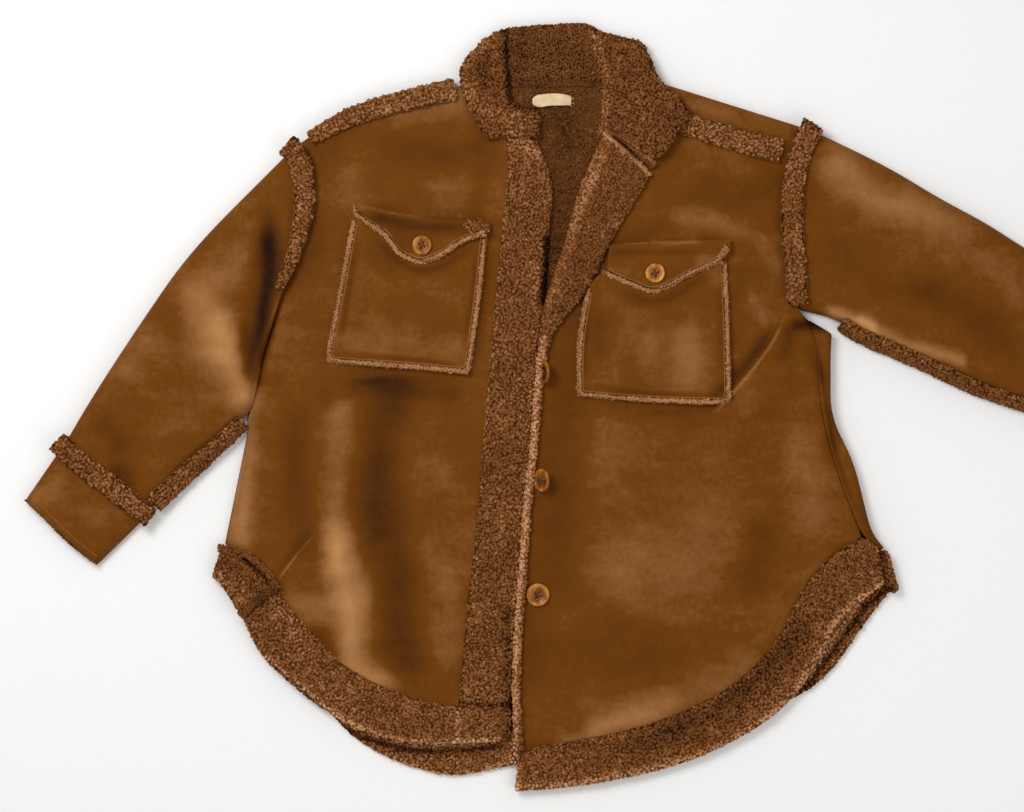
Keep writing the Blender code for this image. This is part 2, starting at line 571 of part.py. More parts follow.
def sleeves():
    gap = np.array((2 * SEAM, 0))
    start = spline([tuple(np.array(p) - gap) for p in RIGHT_ARMHOLE])
    left, right = spline(SLEEVE_R_IN), spline(SLEEVE_R_OUT)
    start[0], start[-1] = left[0], right[0]
    end = spline([SLEEVE_R_IN[-1], (-438, -80), SLEEVE_R_OUT[-1]])
    tube("sleeve_right", start, end, left, right, (17, 19, 20, 19, 17), 11, SUEDE)
    lower, upper = np.array(SLEEVE_R_IN[-1]), np.array(SLEEVE_R_OUT[-1])
    step = np.array((-0.7, -0.7)) * 2 * SEAM
    tube("cuff_right", end + step, spline(CUFF_R_END), np.array([lower + step, CUFF_R_END[0]]),
         np.array([upper + step, CUFF_R_END[1]]), (16, 15), 3, SUEDE)

    armhole = [(311.8, 275), (306.8, 244), (302.8, 202), (303.8, 150), (305.8, 118)]
    start = spline([SLEEVE_L_OUT[0], *armhole, SLEEVE_L_IN[0]])
    left, right = spline(SLEEVE_L_OUT), spline(SLEEVE_L_IN)
    end = spline([SLEEVE_L_OUT[-1], (632, 44), SLEEVE_L_IN[-1]])
    tube("sleeve_left", start, end, left, right, (18, 20, 21, 19, 17), 11, SUEDE)
    upper, lower = np.array(SLEEVE_L_OUT[-1]), np.array(SLEEVE_L_IN[-1])
    step = np.array((0.9, -0.4)) * 2 * SEAM
    tube("cuff_left", end + step, spline(CUFF_L_END[::-1]), np.array([upper + step, CUFF_L_END[1]]),
         np.array([lower + step, CUFF_L_END[0]]), (16, 15), 3, SUEDE)


def collar():
    """One fold-over piece, drawn on its outer side: stand, roll and leaf at each station."""
    under = trees("front_right", "front_left", "back", "placket_right", "shoulder_trim_right",
                  "shoulder_trim_left")
    t = np.linspace(0, 1, 7)[:, None]
    rows = []
    for s in COLLAR:
        seam, roll, edge = np.array(s[:6], float).reshape(3, 2)
        rising = (roll - seam) / np.linalg.norm(roll - seam)
        falling = (edge - roll) / np.linalg.norm(edge - roll)
        start = np.array((*(roll - COLLAR_FOLD * rising), s.stand_z))
        end = np.array((*(roll + COLLAR_FOLD * falling), s.leaf_z))
        handle = COLLAR_FOLD * 4 / 3  # makes a half circle of a full fold
        first, second = start + handle * np.array((*rising, 0)), end - handle * np.array((*falling, 0))
        bend = (1 - t)**3 * start + 3 * (1 - t)**2 * t * first + 3 * (1 - t) * t**2 * second + t**3 * end
        foot, lip = np.array((*seam, s.seam_z)), np.array((*edge, s.edge_z))
        leaf = [end * (1 - share) + lip * share for share in (0.34, 0.68, 1.0)]
        rows.append([foot, (foot + start) / 2, *bend, *leaf])
    rows = np.array(rows)
    low = settled(rows[:, 8:, :2], under, gap=COLLAR_WALL + REST)[..., 2]
    on_top = np.array([s.leaf_z > s.stand_z for s in COLLAR])[:, None]
    rows[:, 8:, 2] = np.where(on_top, np.maximum(rows[:, 8:, 2], low), rows[:, 8:, 2])
    sheet("collar", [rows], COLLAR_WALL, SHERPA)


def strips():
    under = ["front_right", "front_left", "back", "sleeve_right", "sleeve_left", "cuff_right", "cuff_left",
             "hem_band_back", "placket_right"]
    across = np.array([-1, -0.55, 0, 0.55, 1])
    ridge = STITCH_RIDGE * np.array([0, 1, 0, 1, 0])
    for name, strip in STRIPS.items():
        line = steps(spline(strip.line), strip.spans)
        reach = np.where(across < 0, -across * -strip.left, across * strip.right)
        plan = np.stack([beside(line, distance) for distance in reach], axis=1)
        relief = np.broadcast_to(ridge, plan.shape[:2])
        sheet(name, [settled(plan, trees(*under), relief=relief)], STRIP, SHERPA)
        under.append(name)


def pockets():
    for name, p in POCKETS.items():
        plan = coons(*(steps(spline(edge), 8) for edge in (p.bottom, p.top, p.left, p.right)))
        below = trees("front_right", "front_left", "placket_right")
        sheet(name, [settled(plan, below)], FLAP, SUEDE)
    for name, f in FLAPS.items():
        top, bottom = steps(spline(f.top), 14), steps(spline(f.bottom), 14)
        plan = np.array([bottom * (1 - s) + top * s for s in FLAP_ROWS])
        below = trees("front_right", "front_left", "placket_right", *POCKETS)
        sheet(name, [settled(plan, below)], FLAP, SUEDE)


def buttons():
    for name, button in BUTTONS.items():
        turned = bmesh.new()
        radius = button.diameter / 2
        points = [turned.verts.new((r * radius * MM, 0, h * button.height * MM)) for r, h in BUTTON_PROFILE]
        for first, second in zip(points, points[1:]):
            turned.edges.new((first, second))
        mesh = bpy.data.meshes.new(name)
        turned.to_mesh(mesh)
        turned.free()
        thing = placed(name, mesh, HORN)
        screw = thing.modifiers.new("turned", "SCREW")
        screw.steps = screw.render_steps = BUTTON_SIDES
        screw.use_merge_vertices = True
        screw.merge_threshold = 0.00005
        below = trees("front_right", "front_left", "placket_right", *POCKETS, *FLAPS)
        seat = 0.0
        for reach, foot in ((0, 0), (0.4, 0), (0.8, 0), (1, 0.3)):
            for a in np.linspace(0, 2 * math.pi, 24, endpoint=False):
                x, y = button.x + math.cos(a) * reach * radius, button.y + math.sin(a) * reach * radius
                seat = max(seat, top_of(below, x, y) - foot * button.height)
        thing.location = Vector((button.x, button.y, seat + REST)) * MM


def label():
    x, y, width, depth, turn = LABEL_PLACE
    along_x = np.linspace(-width / 2, width / 2, 7)
    plan = np.array([[(x + dx, y + dy + turn * dx) for dx in along_x] for dy in (-depth / 2, 0, depth / 2)])
    sheet("neck_label", [settled(plan, trees("back"))], LABEL, COTTON)


def rest_on_origin():
    """Stands the whole part on the origin: the table at its middle."""
    bpy.context.view_layer.update()
    graph = bpy.context.evaluated_depsgraph_get()
    corners = []
    for thing in PARTS.objects:
        seen = thing.evaluated_get(graph)
        corners += [seen.matrix_world @ Vector(corner) for corner in seen.bound_box]
    low = [min(corner[axis] for corner in corners) for axis in range(3)]
    high = [max(corner[axis] for corner in corners) for axis in range(3)]
    table = bpy.data.objects.new(NAME + "_frame", None)
    table.location = (-(low[0] + high[0]) / 2, -(low[1] + high[1]) / 2, -low[2])
    bpy.context.scene.collection.objects.link(table)
    for thing in PARTS.objects:
        thing.parent = table


for old in list(bpy.data.objects):
    bpy.data.objects.remove(old)
PARTS = bpy.data.collections.new(NAME)
bpy.context.scene.collection.children.link(PARTS)

back()
right_plan = front_right()
left_plan = front_left()
hem_bands(right_plan, left_plan)
placket(right_plan)
sleeves()
strips()
collar()
pockets()
buttons()
label()
rest_on_origin()
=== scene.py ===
import bpy, bmesh, math
import numpy as np
from mathutils import Vector, Matrix, noise
from mathutils.bvhtree import BVHTree


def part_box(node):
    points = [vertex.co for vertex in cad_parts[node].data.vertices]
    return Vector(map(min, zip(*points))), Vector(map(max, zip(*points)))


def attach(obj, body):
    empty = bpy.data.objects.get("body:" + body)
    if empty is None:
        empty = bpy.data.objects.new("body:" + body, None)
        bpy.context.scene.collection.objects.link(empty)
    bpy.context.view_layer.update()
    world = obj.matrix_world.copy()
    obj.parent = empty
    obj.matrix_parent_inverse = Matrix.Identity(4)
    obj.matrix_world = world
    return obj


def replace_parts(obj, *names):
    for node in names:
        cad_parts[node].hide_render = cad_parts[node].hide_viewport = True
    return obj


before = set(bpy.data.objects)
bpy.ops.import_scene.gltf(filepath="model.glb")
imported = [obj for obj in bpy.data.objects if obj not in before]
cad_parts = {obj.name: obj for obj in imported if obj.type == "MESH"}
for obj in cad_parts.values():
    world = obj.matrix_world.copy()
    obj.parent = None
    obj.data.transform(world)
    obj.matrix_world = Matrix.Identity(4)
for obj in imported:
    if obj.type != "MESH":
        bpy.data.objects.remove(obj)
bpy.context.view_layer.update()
mm = 0.001
pixel = 0.00108  # metres on the table for one pixel of the photograph
photoWide, photoTall = 1024, 812
photoX, photoY = -0.0895, 0.001  # where the middle of the photograph lies
print("frame loaded:", len(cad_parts), "nodes")


def spot(px, py):  # a place of the photograph, on the table
    return (px - photoWide / 2) * pixel + photoX, (photoTall / 2 - py) * pixel + photoY


def pixelsOf(co):
    return (co[:, 0] - photoX) / pixel + photoWide / 2, photoTall / 2 - (co[:, 1] - photoY) / pixel


def curved(line, perSpan=6):  # a soft line through the given places
    p = np.array([line[0]] + list(line) + [line[-1]], float)
    out = []
    for a, b, c, d in zip(p, p[1:], p[2:], p[3:]):
        for t in np.linspace(0, 1, perSpan, endpoint=False):
            out.append(0.5 * (2 * b + (c - a) * t + (2 * a - 5 * b + 4 * c - d) * t**2
                              + (3 * b - a - 3 * c + d) * t**3))
    return np.array(out + [p[-1]])


def stopsOf(line, perSpan=6):
    return np.array([spot(*p) for p in curved(line, perSpan)])


def unit(rows):
    return rows / np.linalg.norm(rows, axis=1)[:, None]


def easing(values, low, high):
    t = np.clip((values - low) / (high - low), 0, 1)
    return t * t * (3 - 2 * t)


def nearestOn(xy, line):  # the closest place of a line, and the share along it
    stops = stopsOf(line)
    best, share, place = np.full(len(xy), 1e9), np.zeros(len(xy)), np.zeros((len(xy), 2))
    for number, (a, b) in enumerate(zip(stops, stops[1:])):
        way = b - a
        t = np.clip(((xy - a) @ way) / (way @ way), 0, 1)
        foot = a + t[:, None] * way
        gap = np.linalg.norm(xy - foot, axis=1)
        closer = gap < best
        best[closer], place[closer] = gap[closer], foot[closer]
        share[closer] = (number + t[closer]) / (len(stops) - 1)
    return place, share


def fromLine(xy, line):  # millimetres to a line, the share along it, and its side (left is positive)
    stops, here = stopsOf(line) / mm, np.asarray(xy) / mm
    best, share, side = np.full(len(here), 1e9), np.zeros(len(here)), np.zeros(len(here))
    lengths = np.linalg.norm(np.diff(stops, axis=0), axis=1)
    gone = 0.0
    for a, b, length in zip(stops, stops[1:], lengths):
        way = (b - a) / length
        along = np.clip((here - a) @ way, 0, length)
        gap = np.linalg.norm(here - a - along[:, None] * way, axis=1)
        closer = gap < best
        best[closer] = gap[closer]
        share[closer] = (gone + along[closer]) / lengths.sum()
        side[closer] = np.sign(way[0] * (here[:, 1] - a[1]) - way[1] * (here[:, 0] - a[0]))[closer]
        gone += length
    return best, share, side


def bump(xy, line, width):
    return np.exp(-(fromLine(xy, line)[0] / width) ** 2)


def faded(share):  # creases and marks run out at both ends
    return easing(share, 0, 0.2) * easing(1 - share, 0, 0.3)


# Creases of the cloth: the line, the half width and the lift in millimetres.
# The steep ones are steep on their right side and soft on their left, the others are soft on both.
steepCreases = ("armpitFold", "hemFold")
bodyCreases = {
    "armpitFold": ([(789, 312), (765, 350), (727, 397), (703, 420), (688, 433)], 20, 5.5),
    "hemFold": ([(320, 528), (300, 550), (284, 572), (273, 587)], 20, 4.0),
    "sideRidge": ([(338, 395), (333, 470), (338, 560), (352, 640), (366, 685)], 12, 3.6),
    "sideRidgeFoot": ([(338, 540), (350, 600), (356, 650)], 9, 2.2),
    "sideTrough": ([(388, 405), (383, 480), (388, 560), (404, 650)], 15, -3.0),
    "plainTrough": ([(300, 430), (297, 500), (305, 545)], 10, -1.8),
    "lowFold": ([(290, 640), (318, 632), (342, 640)], 8, -1.8),
    "plackedRidge": ([(448, 520), (452, 600), (446, 680)], 13, 2.0),
    "underPocket": ([(340, 388), (400, 384), (455, 392)], 9, -1.8),
    "chestDent": ([(372, 178), (410, 236), (404, 268)], 14, -1.2),
    "collarDent": ([(430, 150), (466, 152), (492, 160)], 12, -1.2),
    "nickOne": ([(309, 428), (316, 432), (323, 438)], 2.6, -1.0),
    "nickTwo": ([(704, 470), (713, 474), (722, 473)], 2.6, -0.9),
    "nickThree": ([(711, 530), (720, 534), (728, 534)], 2.8, -0.8),
    "nickFour": ([(624, 697), (632, 700), (641, 704)], 3.0, -0.9),
    "armpitLow": ([(770, 372), (745, 420), (738, 470)], 20, 2.2),
    "armpitSmall": ([(800, 340), (785, 372), (768, 398)], 7, 1.8),
    "bellyWide": ([(590, 560), (650, 545), (712, 560)], 26, 2.0),
    "bellyHollow": ([(560, 420), (600, 440), (690, 445)], 22, -1.4),
    "frontHollow": ([(556, 410), (548, 500), (540, 570)], 13, -1.7),
    "sideHollow": ([(790, 430), (786, 520), (770, 590)], 14, -1.6),
    "sideSwell": ([(815, 420), (822, 480), (835, 540)], 13, 2.0),
    "hemSwell": ([(600, 700), (680, 690), (735, 650)], 22, 1.8),
    "shoulderHollow": ([(700, 190), (740, 200), (778, 190)], 13, -1.4),
    "flapSwell": ([(660, 214), (710, 222), (748, 232)], 10, 1.2),
    "pocketSwellOne": ([(360, 290), (400, 310), (450, 352)], 18, 1.1),
    "pocketSwellTwo": ([(610, 360), (660, 345), (700, 352)], 18, 1.2),
    "pocketHollow": ([(600, 300), (640, 312), (700, 305)], 12, -0.8),
    "sideEdgeOne": ([(284, 300), (268, 360), (252, 430)], 7, 1.2),
    "sideEdgeTwo": ([(300, 300), (288, 360), (272, 430)], 9, -1.2),
}
sleeveCreases = {
    "brightFold": ([(196, 250), (214, 305), (230, 345), (238, 398)], 13, 4.2),
    "darkTrough": ([(268, 240), (255, 300), (250, 380)], 11, -4.2),
    "elbowFold": ([(150, 330), (172, 352), (206, 372)], 9, 1.8),
    "elbowHollow": ([(112, 400), (146, 402), (184, 398)], 12, -2.0),
    "wrinkleOne": ([(162, 326), (178, 318), (196, 306)], 3.2, 0.9),
    "wrinkleTwo": ([(170, 338), (186, 330), (204, 320)], 3.0, 0.8),
    "wrinkleThree": ([(160, 314), (176, 306), (188, 296)], 3.4, 0.7),
    "wrinkleFour": ([(178, 350), (196, 342), (212, 333)], 3.6, 0.8),
    "upperSwell": ([(262, 188), (236, 216), (214, 244)], 13, 2.0),
    "upperHollow": ([(282, 200), (272, 226), (266, 250)], 8, -1.5),
    "cuffFold": ([(118, 440), (138, 458), (152, 480)], 8, -1.6),
    "lowerHollow": ([(86, 434), (112, 444), (134, 458)], 9, -1.4),
    "cuffSwell": ([(52, 492), (84, 512), (116, 520)], 12, 1.4),
    "leftTopSwell": ([(840, 178), (890, 205), (960, 240), (1020, 270)], 22, 2.6),
    "leftTrough": ([(830, 262), (880, 282), (950, 300), (1010, 330)], 16, -2.8),
    "leftLowSwell": ([(850, 318), (920, 350), (1010, 385)], 12, 2.2),
    "leftArmCrease": ([(826, 180), (832, 220), (836, 270)], 9, -1.4),
    "leftShade": ([(880, 236), (900, 260), (930, 268)], 10, -1.0),
}

collarCreases = {
    "innerFold": ([(504, 22), (506, 50), (507, 78), (512, 102), (537, 110)], 2.6, -1.4),
    "innerRoll": ([(588, 24), (598, 56), (604, 82), (603, 108), (602, 134)], 6, 2.0),
    "rollHollow": ([(612, 40), (620, 80), (622, 120)], 10, -1.2),
    "bandRidge": ([(474, 116), (500, 122), (536, 122)], 9, 1.8),
    "bandGroove": ([(470, 96), (486, 104), (510, 108), (538, 111)], 2.6, -2.2),
    "leafSwell": ([(470, 66), (486, 60), (494, 40)], 9, 1.6),
    "leafSwellTwo": ([(655, 96), (672, 116), (668, 140)], 10, 1.4),
    "pointHollow": ([(640, 104), (646, 130), (640, 150)], 7, -1.2),
}
hemCreases = {
    "lowRidge": ([(240, 632), (256, 649), (309, 695), (354, 726), (419, 743), (500, 739)], 4.0, 1.8),
    "lowGroove": ([(246, 622), (270, 650), (316, 688), (360, 715), (420, 731), (500, 728)], 2.4, -1.3),
    "backRidge": ([(340, 738), (372, 752), (414, 768), (458, 777), (512, 764)], 3.5, 1.6),
    "rimRidge": ([(517, 786), (595, 778), (690, 754), (768, 713), (812, 660), (832, 622), (858, 596)],
                 4.0, 1.5),
    "upperRidge": ([(518, 750), (585, 744), (660, 728), (725, 698), (778, 650), (800, 604), (830, 566)],
                   3.0, 1.2),
    "joinRise": ([(280, 590), (266, 602), (250, 616)], 7, 3.0),
}

# Where the suede is painted lighter (more than 0) or darker, partly the lie of its nap and mostly painted
# highlights and painted shade of its folds: the line, the half width in millimetres, the strength
napAndLightMarks = [
    ([(340, 400), (336, 480), (340, 560)], 11, 0.18),
    ([(342, 540), (351, 600), (354, 660), (372, 682)], 13, 0.31), ([(338, 548), (340, 566)], 8, 0.12),
    ([(350, 610), (354, 640)], 9, 0.12), ([(384, 218), (420, 228), (460, 226)], 7, -0.1),
    ([(570, 300), (566, 380), (560, 460), (556, 560)], 17, -0.1),
    ([(836, 172), (868, 196), (900, 214), (930, 226)], 15, 0.12),
    ([(392, 395), (378, 450), (384, 540), (404, 660)], 16, -0.26),
    ([(300, 420), (297, 480), (300, 540)], 11, -0.14), ([(250, 400), (246, 470), (240, 535)], 9, 0.24),
    ([(284, 300), (262, 370)], 7, 0.16), ([(270, 590), (284, 640), (300, 662)], 10, -0.12),
    ([(318, 640), (340, 655)], 9, -0.2), ([(300, 600), (322, 606), (340, 600)], 12, 0.18),
    ([(432, 560), (452, 600), (440, 650)], 14, 0.14), ([(430, 470), (460, 500), (462, 560)], 15, 0.05),
    ([(350, 180), (356, 200)], 11, 0.1), ([(300, 205), (310, 250), (300, 270)], 10, -0.12),
    ([(376, 226), (404, 246)], 10, -0.14), ([(395, 150), (430, 152), (480, 146)], 13, -0.12),
    ([(400, 110), (430, 98), (455, 92)], 12, 0.16), ([(355, 120), (330, 150), (310, 160)], 9, -0.08),
    ([(436, 190), (470, 192)], 12, 0.08), ([(480, 170), (478, 215)], 9, -0.1),
    ([(330, 392), (400, 388), (450, 394)], 9, -0.16), ([(372, 330), (420, 345), (455, 352)], 12, 0.12),
    ([(345, 340), (372, 352)], 9, 0.12), ([(372, 250), (392, 268)], 8, -0.12),
    ([(380, 300), (450, 300)], 14, 0.03), ([(198, 296), (204, 330), (216, 356)], 15, 0.24),
    ([(222, 326), (230, 352), (236, 392)], 11, 0.27), ([(240, 262), (222, 276)], 13, 0.16),
    ([(246, 330), (250, 372)], 6, -0.14), ([(268, 222), (258, 262)], 8, -0.12),
    ([(290, 280), (284, 300)], 6, -0.12), ([(140, 340), (125, 372)], 12, 0.12),
    ([(150, 350), (166, 360)], 9, 0.06), ([(104, 425), (118, 440), (120, 470)], 10, -0.14),
    ([(190, 410), (160, 430)], 9, 0.05), ([(60, 478), (44, 492)], 10, 0.12),
    ([(118, 478), (124, 484)], 8, -0.18), ([(86, 512), (100, 520)], 8, 0.06),
    ([(760, 118), (790, 128)], 9, 0.12), ([(690, 100), (730, 118)], 8, 0.12),
    ([(700, 190), (745, 196), (775, 180)], 12, -0.1), ([(690, 216), (730, 224), (745, 228)], 9, 0.14),
    ([(615, 240), (650, 232), (665, 225)], 8, -0.1), ([(640, 200), (654, 214)], 9, 0.03),
    ([(760, 242), (776, 268)], 8, 0.1), ([(700, 262), (716, 285)], 8, 0.14),
    ([(741, 270), (736, 300)], 7, -0.08), ([(600, 255), (622, 260)], 8, -0.08),
    ([(690, 345), (690, 376)], 14, 0.22), ([(650, 350), (655, 378)], 12, 0.12),
    ([(598, 320), (596, 350)], 8, -0.1), ([(752, 300), (764, 320)], 8, 0.14),
    ([(400, 300), (440, 330), (430, 350)], 16, -0.05), ([(610, 380), (600, 440), (590, 480)], 12, 0.03),
    ([(790, 330), (786, 352)], 8, -0.22), ([(800, 322), (826, 326)], 6, -0.4),
    ([(812, 350), (822, 380)], 6, -0.14), ([(640, 560), (680, 548), (706, 545)], 26, 0.13),
    ([(600, 575), (640, 590), (690, 590)], 22, 0.07), ([(640, 402), (700, 420)], 16, -0.06),
    ([(620, 640), (700, 640)], 24, -0.04), ([(760, 540), (756, 580)], 13, -0.12),
    ([(800, 440), (812, 520)], 14, 0.12), ([(832, 400), (836, 450)], 6, -0.16),
    ([(866, 500), (878, 540)], 8, -0.14), ([(850, 560), (872, 600), (850, 620)], 10, -0.18),
    ([(700, 700), (745, 672)], 14, 0.16), ([(600, 722), (640, 712), (668, 706)], 11, 0.26),
    ([(540, 650), (600, 660), (640, 655)], 18, -0.06), ([(560, 740), (600, 736)], 7, 0.2),
    ([(530, 600), (526, 680)], 8, -0.04), ([(836, 165), (870, 190), (905, 200)], 13, 0.2),
    ([(920, 205), (960, 225)], 14, 0.16), ([(985, 265), (1010, 285)], 13, 0.16),
    ([(830, 250), (850, 268)], 9, -0.06), ([(930, 290), (975, 320), (1005, 345)], 12, -0.12),
    ([(860, 318), (900, 340), (960, 362)], 6, 0.26), ([(870, 285), (930, 292)], 10, -0.06),
    ([(835, 310), (870, 322)], 6, 0.32), ([(812, 150), (816, 200)], 6, -0.05),
]

# Where the pile is painted lighter or darker, as painted highlights and painted shade of its folds and ridges,
# in the same way
pileLightMarks = [
    ([(516, 790), (515, 744), (515, 681), (517, 615), (522, 563), (527, 500), (533, 450), (536, 400),
       (543, 340)], 4.2, 0.24), ([(508, 610), (509, 680), (509, 735)], 5, -0.1),
    ([(546, 240), (545, 275), (541, 300)], 3.5, -0.3),
    ([(505, 30), (507, 75), (511, 103), (536, 111)], 3.5, -0.12), ([(484, 62), (488, 84)], 10, -0.07),
    ([(497, 27), (464, 62), (461, 84)], 4.5, 0.07), ([(510, 136), (530, 148)], 11, 0.09),
    ([(597, 150), (581, 200), (566, 250), (552, 300)], 6, 0.07), ([(520, 52), (560, 52), (590, 60)], 17, -0.04),
    ([(560, 115), (566, 150), (560, 200), (556, 240)], 17, -0.07),
    ([(595, 35), (601, 60), (606, 82), (604, 106), (602, 131)], 6, 0.1),
    ([(603, 133), (625, 152), (648, 174)], 4.5, 0.06), ([(615, 137), (636, 158)], 3, -0.2),
    ([(470, 90), (490, 110), (520, 122)], 12, 0.08), ([(470, 60), (484, 48)], 12, 0.04),
    ([(600, 200), (580, 260), (560, 310)], 10, -0.03),
    ([(610, 140), (595, 175), (578, 216), (568, 249)], 5, 0.08),
    ([(530, 140), (548, 180), (541, 240), (535, 306)], 5, 0.05),
    ([(506, 150), (506, 180), (500, 232), (488, 380), (480, 470)], 3.5, 0.08),
    ([(458, 706), (458, 738)], 2.5, 0.16), ([(460, 703), (505, 707)], 2.5, -0.16),
    ([(273, 587), (256, 600), (242, 612)], 3, -0.06), ([(224, 562), (250, 580), (260, 598)], 9, -0.08),
    ([(256, 649), (309, 695), (354, 726), (419, 743), (497, 740)], 3, 0.22),
    ([(240, 640), (300, 690), (350, 732), (419, 752), (500, 748)], 3, -0.26),
    ([(364, 748), (410, 766), (456, 777), (511, 762)], 3, 0.12),
    ([(517, 789), (595, 781), (692, 757), (770, 715), (815, 662), (835, 622), (862, 595)], 3.5, 0.16),
    ([(892, 586), (868, 607), (848, 633), (827, 662), (806, 690)], 3.2, -0.26),
    ([(884, 581), (861, 600), (840, 629), (820, 661), (800, 690)], 2.4, 0.14),
    ([(880, 545), (886, 582)], 3, -0.2), ([(640, 742), (704, 718), (760, 680), (800, 630)], 13, -0.1),
]


# painted highlights and painted shade on the pile
def pileLightAndShade(xy):
    shade = np.zeros(len(xy))
    for line, width, strength in pileLightMarks:
        shade += 1.5 * strength * bump(xy, line, width)
    return shade


# Painted highlights and painted shade that stay sharp along folds, in the same way: painted light on the edges
# and painted shade beside them
foldLightAndShade = [
    ([(776, 318), (753, 356), (720, 391), (694, 415)], 6, -0.3),
    ([(788, 312), (767, 350), (729, 397), (704, 420)], 1.5, 0.2),
    ([(319, 530), (299, 552), (274, 586)], 1.3, 0.16), ([(312, 528), (292, 552), (270, 580)], 5, -0.08),
    ([(358, 214), (400, 224), (440, 228), (484, 224)], 6, -0.16),
    ([(358, 207), (400, 215), (440, 217), (484, 218)], 1.5, 0.16),
    ([(604, 252), (650, 253), (720, 252)], 3.5, -0.14), ([(600, 246), (650, 243), (722, 243)], 1.5, 0.14),
    ([(288, 276), (280, 296), (268, 335), (258, 375), (251, 410), (242, 460), (231, 540)], 1.7, 0.2),
    ([(835, 332), (839, 420), (858, 457), (876, 520)], 2.2, 0.1),
    ([(816, 330), (822, 380), (836, 455), (864, 532)], 2.6, -0.2),
    ([(269, 208), (270, 262), (263, 318), (255, 360), (250, 398)], 12, -0.46),
    ([(800, 318), (815, 322), (832, 326)], 4, -0.3), ([(340, 384), (400, 379), (462, 380)], 4, -0.14),
    ([(370, 236), (392, 256), (410, 268), (424, 271), (444, 265), (468, 250), (484, 241)], 5, -0.22),
    ([(612, 288), (634, 297), (650, 301), (668, 298), (694, 284), (720, 270)], 5, -0.2),
    ([(361, 230), (349, 290), (338, 352)], 2.6, -0.2), ([(340, 355), (400, 359), (462, 364)], 2.4, -0.18),
    ([(478, 244), (471, 300), (462, 356)], 2.8, -0.16), ([(592, 300), (586, 340), (585, 384)], 2.6, -0.16),
    ([(588, 388), (650, 393), (714, 396)], 2.4, -0.16), ([(719, 276), (721, 330), (722, 388)], 2.6, -0.14),
    ([(592, 404), (650, 410), (712, 410)], 4, -0.12), ([(493, 240), (484, 320), (474, 376)], 2.6, -0.1),
]


def creaseLift(xy, creases):  # metres
    lift = np.zeros(len(xy))
    for name, (line, width, height) in creases.items():
        far, share, side = fromLine(xy, line)
        if name in steepCreases:
            shape = np.where(side > 0, np.exp(-(far / width) ** 1.3), np.exp(-(far / 1.7) ** 2))
        else:
            shape = np.exp(-(far / width) ** 2)
        lift += height * mm * shape * faded(share)
    return lift


noise.seed_set(3)  # or the marks wander otherwise at each run
wanders = ((9, 14, 4.0), (2.5, 60, 9.0))  # the reach in millimetres, the scale and the layer


def wandering(xy):  # places shifted unevenly, so that marks have no drawn edge
    for reach, scale, layer in wanders:
        shift = [noise.noise_vector(Vector((x * scale, y * scale, layer)))[:2] for x, y in xy]
        xy = xy + np.array(shift).reshape(-1, 2) * reach * mm
    return xy


# the suede's nap tone together with its painted highlights and painted shade
def napAndPaintedLight(xy):
    brushed = wandering(xy)
    shade = np.zeros(len(xy))
    for line, width, strength in napAndLightMarks:
        far, share, side = fromLine(brushed, line)
        power = strength * (0.72 if 0 < strength < 0.23 else 1.0)
        shade += power * np.exp(-(far / width / (1.45 if width > 8 else 1.15)) ** 2)
    for line, width, strength in foldLightAndShade:
        far, share, side = fromLine(xy, line)
        shade += strength * np.exp(-(far / width) ** 2) * faded(share)
    return shade


